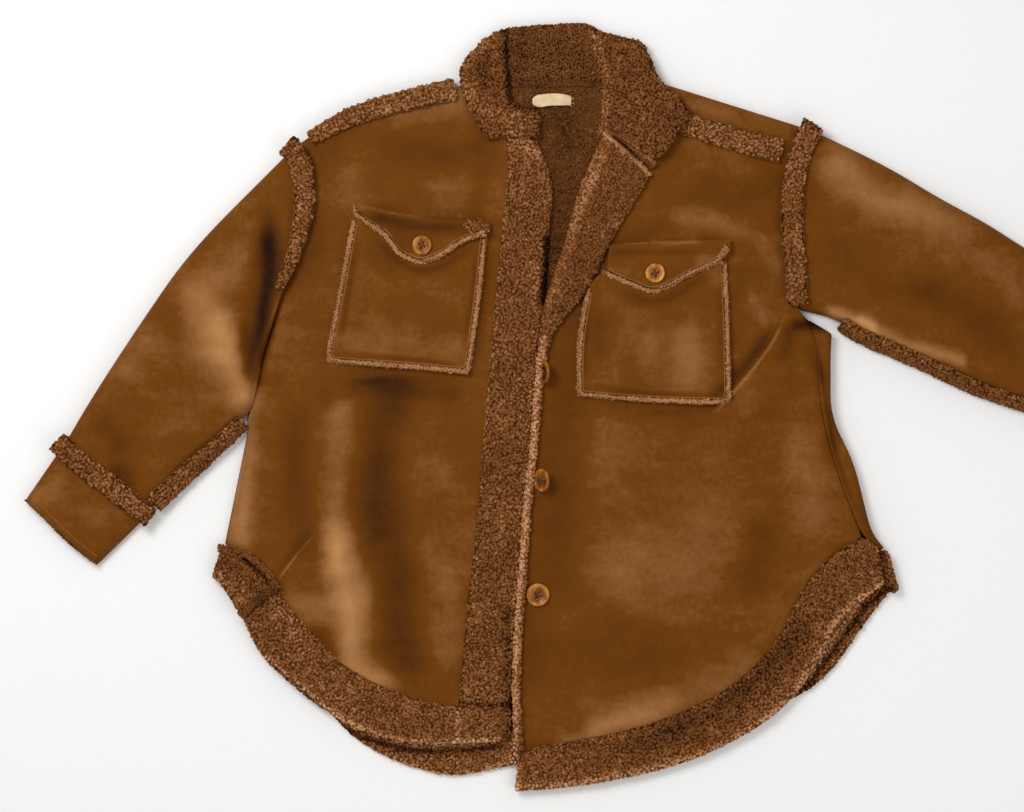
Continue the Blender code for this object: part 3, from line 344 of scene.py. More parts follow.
class Finish:  # one material, on Object coordinates or on the piece's own attributes
    def __init__(self, name, roughness, **sockets):
        self.look = bpy.data.materials.new(name)
        self.look.use_nodes = True
        self.tree = self.look.node_tree
        self.shader = self.tree.nodes["Principled BSDF"]
        self.shader.inputs["Roughness"].default_value = roughness
        for socket, value in sockets.items():
            self.shader.inputs[socket.replace("_", " ")].default_value = value
        self.place = self.tree.nodes.new("ShaderNodeTexCoord").outputs["Object"]

    def add(self, kind, outlet=0, links=(), **settings):
        node = self.tree.nodes.new("ShaderNode" + kind)
        for name, value in settings.items():
            if hasattr(node, name):
                setattr(node, name, value)
            else:
                node.inputs[name.replace("_", " ")].default_value = value
        for socket, source in dict(links).items():
            self.tree.links.new(source, node.inputs[socket])
        return node.outputs[outlet]

    def grain(self, scale, detail=3.0, rough=0.55, stretch=None):
        where = self.place
        if stretch:
            where = self.add("Mapping", links={"Vector": where}, Scale=stretch)
        return self.add("TexNoise", "Fac", {"Vector": where}, Scale=scale, Detail=detail, Roughness=rough)

    def cells(self, scale):
        return self.add("TexVoronoi", "Distance", {"Vector": self.place}, Scale=scale)

    def waves(self, direction, scale, unrest):
        return self.add("TexWave", "Fac", {"Vector": self.place}, bands_direction=direction, Scale=scale,
                        Distortion=unrest)

    def spread(self, value, low, high, outLow, outHigh):
        return self.add("MapRange", "Result", {"Value": value}, From_Min=low, From_Max=high, To_Min=outLow,
                        To_Max=outHigh)

    def swing(self, value, reach, low=0.3):  # as much darker as lighter
        return self.spread(value, low, 1 - low, -reach, reach)

    def sum(self, *values):
        total = values[0]
        for value in values[1:]:
            total = self.add("Math", 0, {0: total, 1: value}, operation="ADD")
        return total

    def times(self, value, share):
        product = self.add("Math", 0, {0: value}, operation="MULTIPLY")
        product.node.inputs[1].default_value = share
        return product

    def own(self, attribute):
        return self.add("Attribute", "Fac", attribute_name=attribute)

    def colours(self, value, stops):
        painted = self.add("ValToRGB", 0, {0: value})
        ramp = painted.node.color_ramp
        while len(ramp.elements) < len(stops):
            ramp.elements.new(0.5)
        for element, (place, colour) in zip(ramp.elements, stops):
            element.position = place
            element.color = (*colour, 1)
        return painted

    def paint(self, colour, roughness, bumps):  # a bump: its height, strength and depth in millimetres
        normal = None
        for height, strength, distance in bumps:
            links = {"Height": height, **({"Normal": normal} if normal else {})}
            normal = self.add("Bump", 0, links, Strength=strength, Distance=distance * mm)
        for socket, source in (("Base Color", colour), ("Roughness", roughness), ("Normal", normal)):
            if source:
                self.tree.links.new(source, self.shader.inputs[socket])
        return self.look


suedeSettings = {
    "dark": (0.018, 0.0030, 0.0001),
    "middle": (0.156, 0.0470, 0.0020),
    "light": (0.50, 0.235, 0.085),
    "roughness": 0.68,
}


def brownSuede():
    s = suedeSettings
    f = Finish("brownSuede", s["roughness"], Sheen_Weight=0.02, Sheen_Roughness=0.4,
               Sheen_Tint=(0.9, 0.62, 0.38, 1), Specular_IOR_Level=0.07)
    cloudy = f.grain(11, 3, 0.5)
    mottled = f.grain(38, 5, 0.62)
    fine = f.grain(160, 4, 0.6)
    fibre = f.grain(1500, 2, 0.6)
    brushed = f.grain(60, 3, 0.55, stretch=(0.35, 1.0, 1.0))
    # the nap attribute brings the painted highlights and painted shade into the colour
    tone = f.sum(f.own("napAndLight"), f.swing(cloudy, 0.035), f.swing(mottled, 0.036), f.swing(fine, 0.03),
                 f.swing(brushed, 0.03), f.swing(fibre, 0.02, 0.2))
    colour = f.colours(tone, [(0.0, s["dark"]), (0.5, s["middle"]), (1.0, s["light"])])
    rough = f.spread(mottled, 0.3, 0.7, s["roughness"] - 0.07, s["roughness"] + 0.1)
    pores = f.cells(620)
    bumps = [(mottled, 0.5, 1.1), (fine, 0.4, 0.5), (pores, 0.12, 0.25), (fibre, 0.25, 0.18)]
    return f.paint(colour, rough, bumps)


# The pile's colour stops: the root stands for painted shade deep between the curls
sherpaSettings = {
    "root": (0.014, 0.0032, 0.0007),
    "middle": (0.235, 0.083, 0.0200),
    "tip": (0.78, 0.43, 0.215),
}


def brownSherpa():
    s = sherpaSettings
    f = Finish("brownSherpa", 0.92, Sheen_Weight=0.04, Sheen_Roughness=0.6,
               Sheen_Tint=(0.85, 0.55, 0.36, 1), Specular_IOR_Level=0.06)
    patch = f.grain(26, 3, 0.55)
    wool = f.grain(900, 3, 0.65)
    # tip and tone bring in the painted shade between the curls and the pile's painted highlights and shade
    reach = f.sum(f.own("tip"), f.own("tone"), f.swing(patch, 0.05), f.swing(wool, 0.11, 0.25))
    colour = f.colours(reach, [(0.12, s["root"]), (0.52, s["middle"]), (1.0, s["tip"])])
    curl = f.cells(520)
    return f.paint(colour, None, [(curl, 0.45, 0.6), (wool, 0.6, 0.4)])


def pileBacking():  # the knit under the curls
    s = sherpaSettings
    f = Finish("pileBacking", 0.95, Specular_IOR_Level=0.05)
    curl = f.cells(380)
    wool = f.grain(700, 3, 0.6)
    # darker towards the edges of its cells and near the root colour, as painted shade between the curls
    reach = f.sum(f.spread(curl, 0.0, 0.8, 0.42, 0.10), f.spread(wool, 0.3, 0.7, -0.1, 0.14), f.own("tone"))
    colour = f.colours(reach, [(0.0, s["root"]), (0.6, s["middle"]), (1.0, s["tip"])])
    return f.paint(colour, None, [(curl, 0.9, 1.6), (wool, 0.5, 0.5)])


def hornLook():
    f = Finish("horn", 0.3, Specular_IOR_Level=0.3, Coat_Weight=0.1, Coat_Roughness=0.15)
    streak = f.grain(190, 4, 0.6, stretch=(1.0, 0.35, 0.6))
    cloud = f.grain(75, 2, 0.5)
    tone = f.sum(f.times(streak, 0.7), f.times(cloud, 0.3), f.own("tone"))
    colour = f.colours(tone, [(0.26, (0.040, 0.009, 0.001)), (0.50, (0.33, 0.094, 0.006)),
                              (0.72, (0.78, 0.37, 0.06))])
    return f.paint(colour, f.spread(streak, 0.3, 0.7, 0.2, 0.36), [(streak, 0.15, 0.25)])


def creamCotton():
    f = Finish("creamCotton", 0.85, Sheen_Weight=0.1, Specular_IOR_Level=0.2)
    weave = f.sum(f.times(f.waves("X", 700, 0.6), 0.5), f.times(f.waves("Y", 700, 0.6), 0.5))
    dirt = f.grain(120, 3, 0.5)
    tone = f.sum(f.times(weave, 0.35), f.times(dirt, 0.65))
    colour = f.colours(tone, [(0.2, (0.52, 0.34, 0.16)), (0.55, (0.80, 0.61, 0.36)),
                              (0.85, (0.90, 0.74, 0.50))])
    return f.paint(colour, None, [(weave, 0.4, 0.12)])


def brownThread():
    f = Finish("brownThread", 0.7, Specular_IOR_Level=0.3)
    twist = f.waves("DIAGONAL", 900, 0.5)
    colour = f.colours(twist, [(0.2, (0.05, 0.02, 0.006)), (0.8, (0.17, 0.08, 0.03))])
    return f.paint(colour, None, [(twist, 0.5, 0.1)])


suede, sherpa, backing = brownSuede(), brownSherpa(), pileBacking()
horn, cotton, thread = hornLook(), creamCotton(), brownThread()
print("finishes ready")


def linked(name, data):
    piece = bpy.data.objects.new(name, data)
    bpy.context.scene.collection.objects.link(piece)
    return piece


def fromBmesh(bm, name):
    mesh = bpy.data.meshes.new(name)
    bm.to_mesh(mesh)
    bm.free()
    return mesh


def shown(name, mesh, look):
    mesh.materials.clear()
    mesh.materials.append(look)
    mesh.polygons.foreach_set("use_smooth", [True] * len(mesh.polygons))
    return linked(name, mesh)


def worn(piece):
    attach(piece, "root")
    return piece


def worked(piece):  # the mesh with its modifiers applied
    bpy.context.view_layer.update()
    seen = piece.evaluated_get(bpy.context.evaluated_depsgraph_get())
    mesh = bpy.data.meshes.new_from_object(seen)
    piece.modifiers.clear()
    old = piece.data
    piece.data = mesh
    bpy.data.meshes.remove(old)
    return piece


def points(mesh):
    co = np.zeros(len(mesh.vertices) * 3)
    mesh.vertices.foreach_get("co", co)
    return co.reshape(-1, 3)


def setPoints(mesh, co):
    mesh.vertices.foreach_set("co", co.ravel())
    mesh.update()


def mark(mesh, name, values):
    layer = mesh.attributes.get(name) or mesh.attributes.new(name, "FLOAT", "POINT")
    layer.data.foreach_set("value", np.asarray(values, float))


def creasesOf(node):
    if node.startswith(("sleeve", "cuff")):
        return sleeveCreases
    if node == "collar":
        return collarCreases
    return hemCreases if node.startswith("hem") else bodyCreases


# From which height to which, in millimetres, the cloth takes up the creases
foldHeights = {"back": (13, 16), "sleeve_right": (8, 14), "sleeve_left": (8, 14),
               "cuff_right": (8, 13), "cuff_left": (8, 13)}


def laidIntoFolds(co, node):
    weight = easing(co[:, 2] / mm, *foldHeights.get(node, (6, 10)))
    co[:, 2] += creaseLift(co[:, :2], creasesOf(node)) * weight
    broad, fine = [np.array([noise.noise(Vector((x * scale, y * scale, seed))) for x, y, z in co])
                   for scale, seed in ((22, 3.1), (55, 7.7))]
    co[:, 2] += (broad + 0.5 * fine) * 0.55 * mm * weight
    return co


def smoothCopy(node, name, look, levels=2, crease=0.8):
    bm = bmesh.new()
    bm.from_mesh(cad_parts[node].data)
    bmesh.ops.remove_doubles(bm, verts=bm.verts[:], dist=0.02 * mm)
    bmesh.ops.join_triangles(bm, faces=bm.faces[:], angle_face_threshold=math.radians(40),
                             angle_shape_threshold=math.radians(70))
    sharp = bm.edges.layers.float.new("crease_edge")
    corner = bm.verts.layers.float.new("crease_vert")
    hard = set()
    for edge in bm.edges:
        if len(edge.link_faces) == 2 and edge.calc_face_angle(0) > math.radians(58):
            edge[sharp] = crease
            hard.add(edge)
    for vert in bm.verts:
        ends = [e.other_vert(vert).co - vert.co for e in vert.link_edges if e in hard]
        ends = [end for end in ends if end.length > 0 and abs(end.normalized().z) < 0.8]
        if len(ends) == 2 and ends[0].angle(ends[1]) < math.radians(130):
            vert[corner] = 0.8
    piece = shown(name, fromBmesh(bm, name), look)
    rounding = piece.modifiers.new("rounding", "SUBSURF")
    rounding.levels = rounding.render_levels = levels
    return worked(piece)


def finer(piece, creases, reach=9.0, cuts=2):  # more cells along the steep folds and the fine creases
    bm = bmesh.new()
    bm.from_mesh(piece.data)
    middles = np.array([((e.verts[0].co + e.verts[1].co) / 2)[:2] for e in bm.edges])
    high = np.array([max(e.verts[0].co.z, e.verts[1].co.z) for e in bm.edges])
    near = np.zeros(len(middles), bool)
    for name, (line, width, height) in creases.items():
        if name in steepCreases or width < 5:
            near |= fromLine(middles, line)[0] < reach
    near &= high > 9 * mm
    chosen = [e for e, close in zip(bm.edges, near) if close]
    if chosen:
        bmesh.ops.subdivide_edges(bm, edges=chosen, cuts=cuts, use_grid_fill=True)
        bmesh.ops.triangulate(bm, faces=[face for face in bm.faces if len(face.verts) > 4])
    bm.to_mesh(piece.data)
    bm.free()


allPieces = {}

# Suede pieces: the cut in metres (width, length, area), and what it lies on
suedePieces = {
    "back": dict(cut=(0.80, 0.76, 0.40), on=["floor"]),
    "front_right": dict(cut=(0.31, 0.68, 0.148), on=["back"]),
    "front_left": dict(cut=(0.43, 0.70, 0.20), on=["back"]),
    "sleeve_right": dict(cut=(0.36, 0.34, 0.094), on=["floor"]),
    "sleeve_left": dict(cut=(0.42, 0.37, 0.122), on=["floor"]),
    "cuff_right": dict(cut=(0.25, 0.078, 0.018), on=["floor"]),
    "cuff_left": dict(cut=(0.22, 0.072, 0.0148), on=["floor"]),
    "pocket_right": dict(cut=(0.165, 0.165, 0.0242), on=["front_right"]),
    "pocket_left": dict(cut=(0.16, 0.155, 0.0235), on=["front_left"]),
    "flap_right": dict(cut=(0.15, 0.05, 0.0046), on=["pocket_right"]),
    "flap_left": dict(cut=(0.14, 0.055, 0.0053), on=["pocket_left"]),
}

lapelEdge = [(548, 337), (562, 319), (580, 301), (593, 281), (599, 265), (617, 229), (639, 194), (653, 178)]
frontEdge = [(512, 792), (513, 744), (512, 681), (514, 615), (519, 563), (524, 500), (530, 450), (533, 400),
             (540, 335)]
# On the left front, in metres: the width and height of the pile rim, and the height and foot of the lapel
rimWide, rimHigh, rimTop = 0.0125, 0.0135, 0.078
lapelHigh, lapelFoot = 0.0154, 0.06


def faceSides(mesh):
    faces = mesh.polygons
    return np.array([face.center for face in faces]), np.array([face.normal for face in faces])


def sherpaSides(mesh, node):  # which faces of a suede piece show the pile
    centres, normals = faceSides(mesh)
    if node == "front_left":
        wall = normals[:, 2] > 0.15
        far = fromLine(centres[:, :2], frontEdge)[0] * mm
        rim = wall & (far < rimWide) & (centres[:, 2] > rimHigh) & (centres[:, 1] < rimTop)
        lapel = wall & (centres[:, 1] >= lapelFoot) & (centres[:, 2] > lapelHigh)
        px, py = pixelsOf(centres)
        edge = curved(lapelEdge, 10)
        limit = np.interp(py, edge[::-1, 1], edge[::-1, 0])
        lapel &= (px < limit + 1.5) & (py > 128)
        under = (normals[:, 2] < -0.2) & (centres[:, 2] < 12 * mm)
        return rim | lapel | under
    if node == "back":
        inner = (normals[:, 2] > 0.2) & (centres[:, 2] < 9 * mm)
        lining = (normals[:, 2] < -0.2) & (centres[:, 2] > 9 * mm)
        return inner | lining
    return np.zeros(len(centres), bool)


def drawnIn(mesh, sides, depth):  # moves the surface inwards, less than 0 is outwards
    normals = np.array([v.normal for v in mesh.vertices])
    setPoints(mesh, points(mesh) - normals * np.array([sides, sides, depth]) * mm)


# The right sleeve lies against the body, so both come together along these lines:
# the half width, and how far each piece moves across, in millimetres
sleeveGap = [
    ([(281, 288), (262, 335), (251, 380), (245, 414)], 7,
     {"sleeve_right": 3.4, "front_right": -1.2, "back": -1.2}),
    ([(256, 375), (248, 420)], 9, {"sleeve_right": 2.4, "front_right": -2.2, "back": -2.2}),
]

for node, s in suedePieces.items():
    levels = 3 if node.startswith("sleeve") or node in ("front_right", "back") else 2
    piece = smoothCopy(node, node + "Cloth", suede, levels)
    if node in ("front_left", "front_right", "sleeve_right"):
        finer(piece, creasesOf(node))
    mesh = piece.data
    pile = sherpaSides(mesh, node)
    mesh.materials.append(backing)
    mesh.polygons.foreach_set("material_index", pile.astype(np.int32))
    co = laidIntoFolds(points(mesh), node)
    for line, width, shifts in sleeveGap:
        if node in shifts:
            co[:, 0] += shifts[node] * mm * bump(co[:, :2], line, width)
    setPoints(mesh, co)
    drawnIn(mesh, -0.45, 0.0)
    # nap and tone carry painted highlights and painted shade, on the upper surfaces
    mark(mesh, "napAndLight", 0.5 + napAndPaintedLight(co[:, :2]) * easing(co[:, 2] / mm, 3, 8))
    mark(mesh, "tone", pileLightAndShade(co[:, :2]))
    mesh.polygons.foreach_set("use_smooth", [True] * len(mesh.polygons))
    allPieces[node] = piece
    print("suede:", node, len(mesh.polygons))

# Sherpa pieces: the cut, what they lie on, and how light the pile is
sherpaPieces = {
    "placket_right": dict(cut=(0.059, 0.62, 0.0337), on=["back"], tone=-0.025),
    "hem_band_right": dict(cut=(0.045, 0.405, 0.0174), on=["back"], tone=0.0),
    "hem_band_left": dict(cut=(0.045, 0.62, 0.0266), on=["back"], tone=-0.02),
    "hem_band_back": dict(cut=(0.045, 0.98, 0.0419), on=["floor"], tone=0.02),
    "collar": dict(cut=(0.082, 0.37, 0.0285), on=["front_right", "front_left", "back"], tone=-0.07),
    "shoulder_trim_right": dict(cut=(0.0245, 0.19, 0.0042), on=["front_right"], tone=0.04),
    "shoulder_trim_left": dict(cut=(0.026, 0.135, 0.0032), on=["front_left"], tone=0.04),
    "armhole_trim_right": dict(cut=(0.025, 0.19, 0.0037), on=["front_right", "sleeve_right"], tone=0.0),
    "armhole_trim_left": dict(cut=(0.026, 0.22, 0.0052), on=["front_left", "sleeve_left"], tone=0.0),
    "sleeve_trim_right": dict(cut=(0.021, 0.20, 0.0034), on=["sleeve_right"], tone=0.0),
    "sleeve_trim_left": dict(cut=(0.026, 0.27, 0.0066), on=["sleeve_left"], tone=-0.05),
    "cuff_trim_right": dict(cut=(0.025, 0.155, 0.0035), on=["sleeve_right", "cuff_right"], tone=0.0),
    "cuff_trim_left": dict(cut=(0.028, 0.175, 0.0047), on=["sleeve_left", "cuff_left"], tone=0.0),
}

# Strips that taper: the middle line, and the share of the width from its start to its end
tapers = {
    "shoulder_trim_right": ([(310, 138), (324, 129), (347, 117), (376, 107), (401, 100), (429, 94), (455, 88)],
        (0.55, 0.85, 0.95)),
    "armhole_trim_right": ([(287, 146), (295, 152), (303, 173), (305, 195), (304, 215), (298, 240), (290, 265),
        (280, 287)], (0.95, 0.82, 0.28)),
    "sleeve_trim_right": ([(155, 504), (170, 490), (195, 467), (222, 443), (238, 428)], (0.8, 0.72, 0.55)),
    "cuff_trim_right": ([(58, 441), (82, 464), (112, 487), (138, 508), (151, 517)], (0.85, 0.82, 0.78)),
    "shoulder_trim_left": ([(680, 123), (707, 131), (738, 140), (766, 148), (780, 151)], (0.8, 0.86, 0.9)),
    "armhole_trim_left": ([(814, 125), (806, 136), (798, 160), (794, 180), (792, 219), (795, 267), (797, 304)],
        (0.95, 0.86, 0.82)),
}
longerEnds = {"sleeve_trim_right": 8.5}  # millimetres, up to the body

# Ends of the strips that hang over an edge: the place, the drop and the reach in millimetres
hangingEnds = {
    "cuff_trim_right": [((55, 438), 5.0, 10), ((153, 519), 5.0, 9)],
    "cuff_trim_left": [((1123, 302), 5.0, 10), ((1070, 427), 6.0, 10)],
    "armhole_trim_left": [((814, 122), 4.5, 9)],
    "armhole_trim_right": [((284, 143), 4.5, 9)],
    "sleeve_trim_right": [((240, 426), 4.0, 9)],
}


def tapered(co, node):
    line, widths = tapers[node]
    foot, share = nearestOn(co[:, :2], line)
    kept = np.interp(share, np.linspace(0, 1, len(widths)), widths)[:, None]
    start, end = unit(np.array([spot(*line[1]), spot(*line[-1])]) - np.array([spot(*line[0]), spot(*line[-2])]))
    way = np.where(share[:, None] < 0.5, start, end)
    off = co[:, :2] - foot
    run = (off * way).sum(1)[:, None] * way
    inside = ((share > 0.001) & (share < 0.999))[:, None]
    co[:, :2] = np.where(inside, foot + off * kept, foot + run + (off - run) * kept)
    co[:, :2] += end * longerEnds.get(node, 0) * mm * easing(share, 0.6, 1.0)[:, None]


for node, s in sherpaPieces.items():
    piece = smoothCopy(node, node + "Cloth", backing, 2, 0.4)
    mesh = piece.data
    co = laidIntoFolds(points(mesh), node)
    if node in tapers:
        tapered(co, node)
    for place, drop, reach in hangingEnds.get(node, ()):
        away = np.linalg.norm(co[:, :2] - np.array(spot(*place)), axis=1) / mm
        co[:, 2] -= drop * mm * np.exp(-(away / reach) ** 2)
    setPoints(mesh, co)
    drawnIn(mesh, -0.5, 1.2)  # down to the foot of the pile
    # the tone holds the pile's painted highlights and painted shade
    mark(mesh, "tone", s["tone"] + pileLightAndShade(co[:, :2]))
    allPieces[node] = piece
print("backings ready")


def treeOf(nodes):  # the surfaces of several pieces as one, for rays
    verts, faces = [], []
    for node in nodes:
        mesh = allPieces[node].data
        start = len(verts)
        verts += [tuple(p) for p in points(mesh)]
        faces += [[start + i for i in face.vertices] for face in mesh.polygons]
    return BVHTree.FromPolygons(verts, faces)


everything = treeOf(allPieces)


def topOf(x, y, tree=everything):
    hit = tree.ray_cast(Vector((x, y, 0.2)), Vector((0, 0, -1)))
    return hit[0].z if hit[0] else 0.0


curlShape = bmesh.new()
bmesh.ops.create_icosphere(curlShape, subdivisions=1, radius=1.0)
curlPoints = np.array([v.co for v in curlShape.verts])
curlFaces = np.array([[v.index for v in face.verts] for face in curlShape.faces])
curlShape.free()


# The lumps of the pile: their axes, and the range of each draw
curlSettings = {"axes": (1.25, 0.9, 0.72), "lean": (-0.35, 0.35), "stretch": (0.8, 1.22), "lumps": (0.78, 1.2),
                "sizes": (0.8, 1.2), "toneSpread": 0.045}


def curls(name, places, normals, size, tone, seed):
    s = curlSettings
    chance = np.random.default_rng(seed)
    count = len(places)
    normals = unit(normals)
    across = unit(np.cross(normals, chance.normal(size=(count, 3))))
    third = np.cross(normals, across)
    lean = chance.uniform(*s["lean"], count)[:, None]
    up = normals * np.cos(lean) + third * np.sin(lean)
    wide = third * np.cos(lean) - normals * np.sin(lean)
    stretch = chance.uniform(*s["stretch"], (count, 1, 3)) * np.array(s["axes"])
    lumps = curlPoints[None] * chance.uniform(*s["lumps"], (count, len(curlPoints), 1)) * stretch
    scale = size * mm * chance.uniform(*s["sizes"], (count, 1, 1))
    body = lumps[..., :1] * across[:, None] + lumps[..., 1:2] * wide[:, None] + lumps[..., 2:] * up[:, None]
    lifted = (body * normals[:, None]).sum(2)
    co = (places[:, None] + body * scale).reshape(-1, 3)
    # each curl is painted darker low down and lighter at its top: painted shade between the curls and a painted
    # highlight on top
    height = np.clip(0.30 + 0.52 * lifted, 0, 1)
    faces = (curlFaces[None] + np.arange(count)[:, None, None] * len(curlPoints)).reshape(-1, 3)
    mesh = bpy.data.meshes.new(name)
    mesh.from_pydata(co.tolist(), [], faces.tolist())
    mark(mesh, "tip", (0.10 + 0.33 * easing(height, 0.24, 0.44) + 0.16 * height).ravel())
    tones = tone + pileLightAndShade(places[:, :2]) + chance.normal(0, s["toneSpread"], count)
    mark(mesh, "tone", np.repeat(tones, len(curlPoints)))
    return worn(shown(name, mesh, sherpa))


triesPerCell, crowding = 5, 0.72  # how many places are tried, and how close they may come, as a squared share


def scattered(piece, spacing, seed, wanted):  # evenly uneven places on the wanted faces
    chance = np.random.default_rng(seed)
    mesh = piece.data
    mesh.calc_loop_triangles()
    co = points(mesh)
    tris = np.array([t.vertices for t in mesh.loop_triangles])
    owner = np.array([t.polygon_index for t in mesh.loop_triangles])
    tris = tris[wanted[owner]]
    a, b, c = co[tris[:, 0]], co[tris[:, 1]], co[tris[:, 2]]
    cross = np.cross(b - a, c - a)
    area = np.linalg.norm(cross, axis=1) / 2
    count = int(area.sum() / (spacing * mm) ** 2 * triesPerCell)
    pick = chance.choice(len(tris), count, p=area / area.sum())
    u, v = chance.random(count), chance.random(count)
    over = u + v > 1
    u[over], v[over] = 1 - u[over], 1 - v[over]
    spots = a[pick] + u[:, None] * (b - a)[pick] + v[:, None] * (c - a)[pick]
    normal = cross[pick] / (2 * area[pick])[:, None]
    step = spacing * mm
    cells, chosen = {}, []
    for i, p in enumerate(spots):
        cx, cy, cz = (int(v // step) for v in p)
        near = [spots[j] - p for x in range(cx - 1, cx + 2) for y in range(cy - 1, cy + 2)
                for z in range(cz - 1, cz + 2) for j in cells.get((x, y, z), ())]
        if all(d @ d >= step * step * crowding for d in near):
            cells.setdefault((cx, cy, cz), []).append(i)
            chosen.append(i)
    return spots[chosen], normal[chosen]


def openToAir(places, normals, gap=2.2, reach=5.0):  # no curls in hidden gaps
    free = []
    for p, n in zip(places, normals):
        way = (Vector(n) + Vector((0, 0, 0.9))).normalized() if n[2] > -0.3 else Vector(n)
        hit = everything.ray_cast(Vector(p) + way * gap * mm, way, reach * mm)
        free.append(hit[0] is None)
    return np.array(free, bool)


def inStand(places):  # the inner side of the collar's stand, behind the neck
    px, py = pixelsOf(places)
    return (px > 507) & (px < np.interp(py, [24, 58, 84, 110], [588, 597, 603, 602])) & (py < 104) & (py > 26)


def pileOn(node, name, wanted, spacing, size, sink, tone, seed):
    places, normals = scattered(allPieces[node], spacing, seed, wanted)
    free = openToAir(places, normals)
    if node == "collar":  # its stand has finer curls than its leaf
        free &= inStand(places) == (name == "collarStandPile")
    places, normals = places[free], normals[free]
    return curls(name, places + normals * sink * mm, normals, size, tone, seed + 50)


# The pile, in millimetres: the spacing and size of its curls, and how deep they sit
pileSettings = {"spacing": 3.25, "size": 2.3, "sink": -0.2, "seed": 11}
# The pile inside the back's neck and on the collar's stand is toned darker, as painted shade inside the neck
linings = {
    "front_left": {"spacing": 3.25, "size": 2.3, "sink": -0.5, "tone": -0.05, "seed": 60},
    "back": {"spacing": 3.25 * 0.75, "size": 2.3 * 0.75, "sink": -0.5, "tone": -0.12, "seed": 61},
}
standSettings = {"spacing": 2.5, "size": 1.75, "sink": -0.1, "tone": -0.10, "seed": 80}
for number, (node, s) in enumerate(sherpaPieces.items()):
    centres, normals = faceSides(allPieces[node].data)
    up = normals[:, 2]
    wanted = (up > -0.25) | (centres[:, 2] > 12 * mm) & (up > -0.6)
    settings = {**pileSettings, "tone": s["tone"], "seed": pileSettings["seed"] + number}
    pileOn(node, node + "Pile", wanted, **settings)
for node, settings in linings.items():
    mesh = allPieces[node].data
    centres, normals = faceSides(mesh)
    wanted = np.array([face.material_index == 1 for face in mesh.polygons]) & (normals[:, 2] > -0.1)
    if node == "back":  # only behind the open neck
        wanted &= (centres[:, 1] > 0.0) & (centres[:, 0] > -0.19) & (centres[:, 0] < 0.06)
    pileOn(node, node + "Pile", wanted, **settings)
centres, normals = faceSides(allPieces["collar"].data)
pileOn("collar", "collarStandPile", normals[:, 2] > 0.0, **standSettings)
print("pile ready")

# Edgings of pockets and flaps: curls in a narrow rope along the edge, and a raised suede line inside it
edgings = {
    "pocket_right": [(354, 222), (341, 290), (330, 346), (330, 358), (334, 361), (400, 366), (458, 371),
        (466, 372), (469, 364), (478, 300), (485, 235)],
    "pocket_left": [(588, 290), (580, 340), (579, 384), (580, 392), (586, 395), (650, 400), (712, 402),
        (724, 401), (728, 392), (727, 320), (724, 264)],
    "flap_right": [(355, 206), (358, 216), (384, 234), (398, 252), (410, 259), (422, 262), (440, 256),
        (462, 242), (488, 230)],
    "flap_left": [(604, 272), (616, 278), (636, 286), (650, 291), (664, 288), (690, 274), (716, 262),
        (727, 250)],
}
edgingCurls = {"width": 1.25, "spacing": 2.3, "size": 1.45}
edgingInset = 4.2  # millimetres from the curls to the raised line


def along(line, step):  # even steps in millimetres on a curved line of the photograph
    stops = stopsOf(line, 8)
    gone = np.concatenate([[0], np.cumsum(np.linalg.norm(np.diff(stops, axis=0), axis=1))])
    where = np.linspace(0, gone[-1], max(2, int(gone[-1] / (step * mm))))
    return np.stack([np.interp(where, gone, stops[:, 0]), np.interp(where, gone, stops[:, 1])], axis=1)


def lineOver(line, step, lift, tree=everything):  # the same line laid over the cloth
    return [(x, y, topOf(x, y, tree) + lift * mm) for x, y in along(line, step)]


def leftOf(path):  # unit steps to the left of a path
    way = unit(np.gradient(path, axis=0))
    return np.stack([-way[:, 1], way[:, 0]], axis=1)


def rope(name, line, width, spacing, size, seed, tone=0.14, lift=0.5, low=0.0):  # curls along a line
    chance = np.random.default_rng(seed)
    path = along(line, spacing * 0.62)
    places, normals = [], []
    for p, s in zip(path, leftOf(path)):
        for reach in (-1.0, -0.35, 0.35, 1.0):
            x, y = p + s * (reach + chance.normal(0, 0.22)) * width * mm + chance.normal(0, 0.5 * mm, 2)
            places.append((x, y, max(topOf(x, y), low * mm) + (lift + 0.9 * (1 - abs(reach))) * mm))
            normals.append((s[0] * reach * 0.7, s[1] * reach * 0.7, 1.0))
    return curls(name, np.array(places), np.array(normals), size, tone, seed)


def cordOf(name, places, radius, look):  # a thin sewn line as a round tube
    curve = bpy.data.curves.new(name, "CURVE")
    curve.dimensions = "3D"
    curve.bevel_depth = radius * mm
    curve.bevel_resolution = 1
    curve.use_fill_caps = True
    for run in places:
        spline = curve.splines.new("POLY")
        spline.points.add(len(run) - 1)
        for point, p in zip(spline.points, run):
            point.co = (*p, 1)
    carrier = linked(name + "Line", curve)
    bpy.context.view_layer.update()
    mesh = bpy.data.meshes.new_from_object(carrier.evaluated_get(bpy.context.evaluated_depsgraph_get()))
    bpy.data.objects.remove(carrier)
    # the suede lines are painted lighter than the cloth, as a highlight along their raised tops
    mark(mesh, "napAndLight", np.full(len(mesh.vertices), 0.66))
    worn(shown(name, mesh, look))


for number, (node, line) in enumerate(edgings.items()):
    rope(node + "Edging", line, **edgingCurls, seed=200 + number)
    path = along(line, 3.0)
    path += leftOf(path) * edgingInset * mm
    run = [(x, y, topOf(x, y) + 0.1 * mm) for x, y in path[1:-1]]
    cordOf(node + "Ridge", [run], 0.75, suede)
print("edgings ready")

neckSeam = [(512, 83), (530, 82), (560, 82), (590, 82), (606, 84)]
cordOf("neckSeamKnit", [[(x, y, 4.6 * mm) for x, y in along(neckSeam, 4.0)]], 2.6, backing)
rope("neckSeamPile", neckSeam, 2.6, 2.0, 1.4, 290, tone=-0.16, lift=1.6)

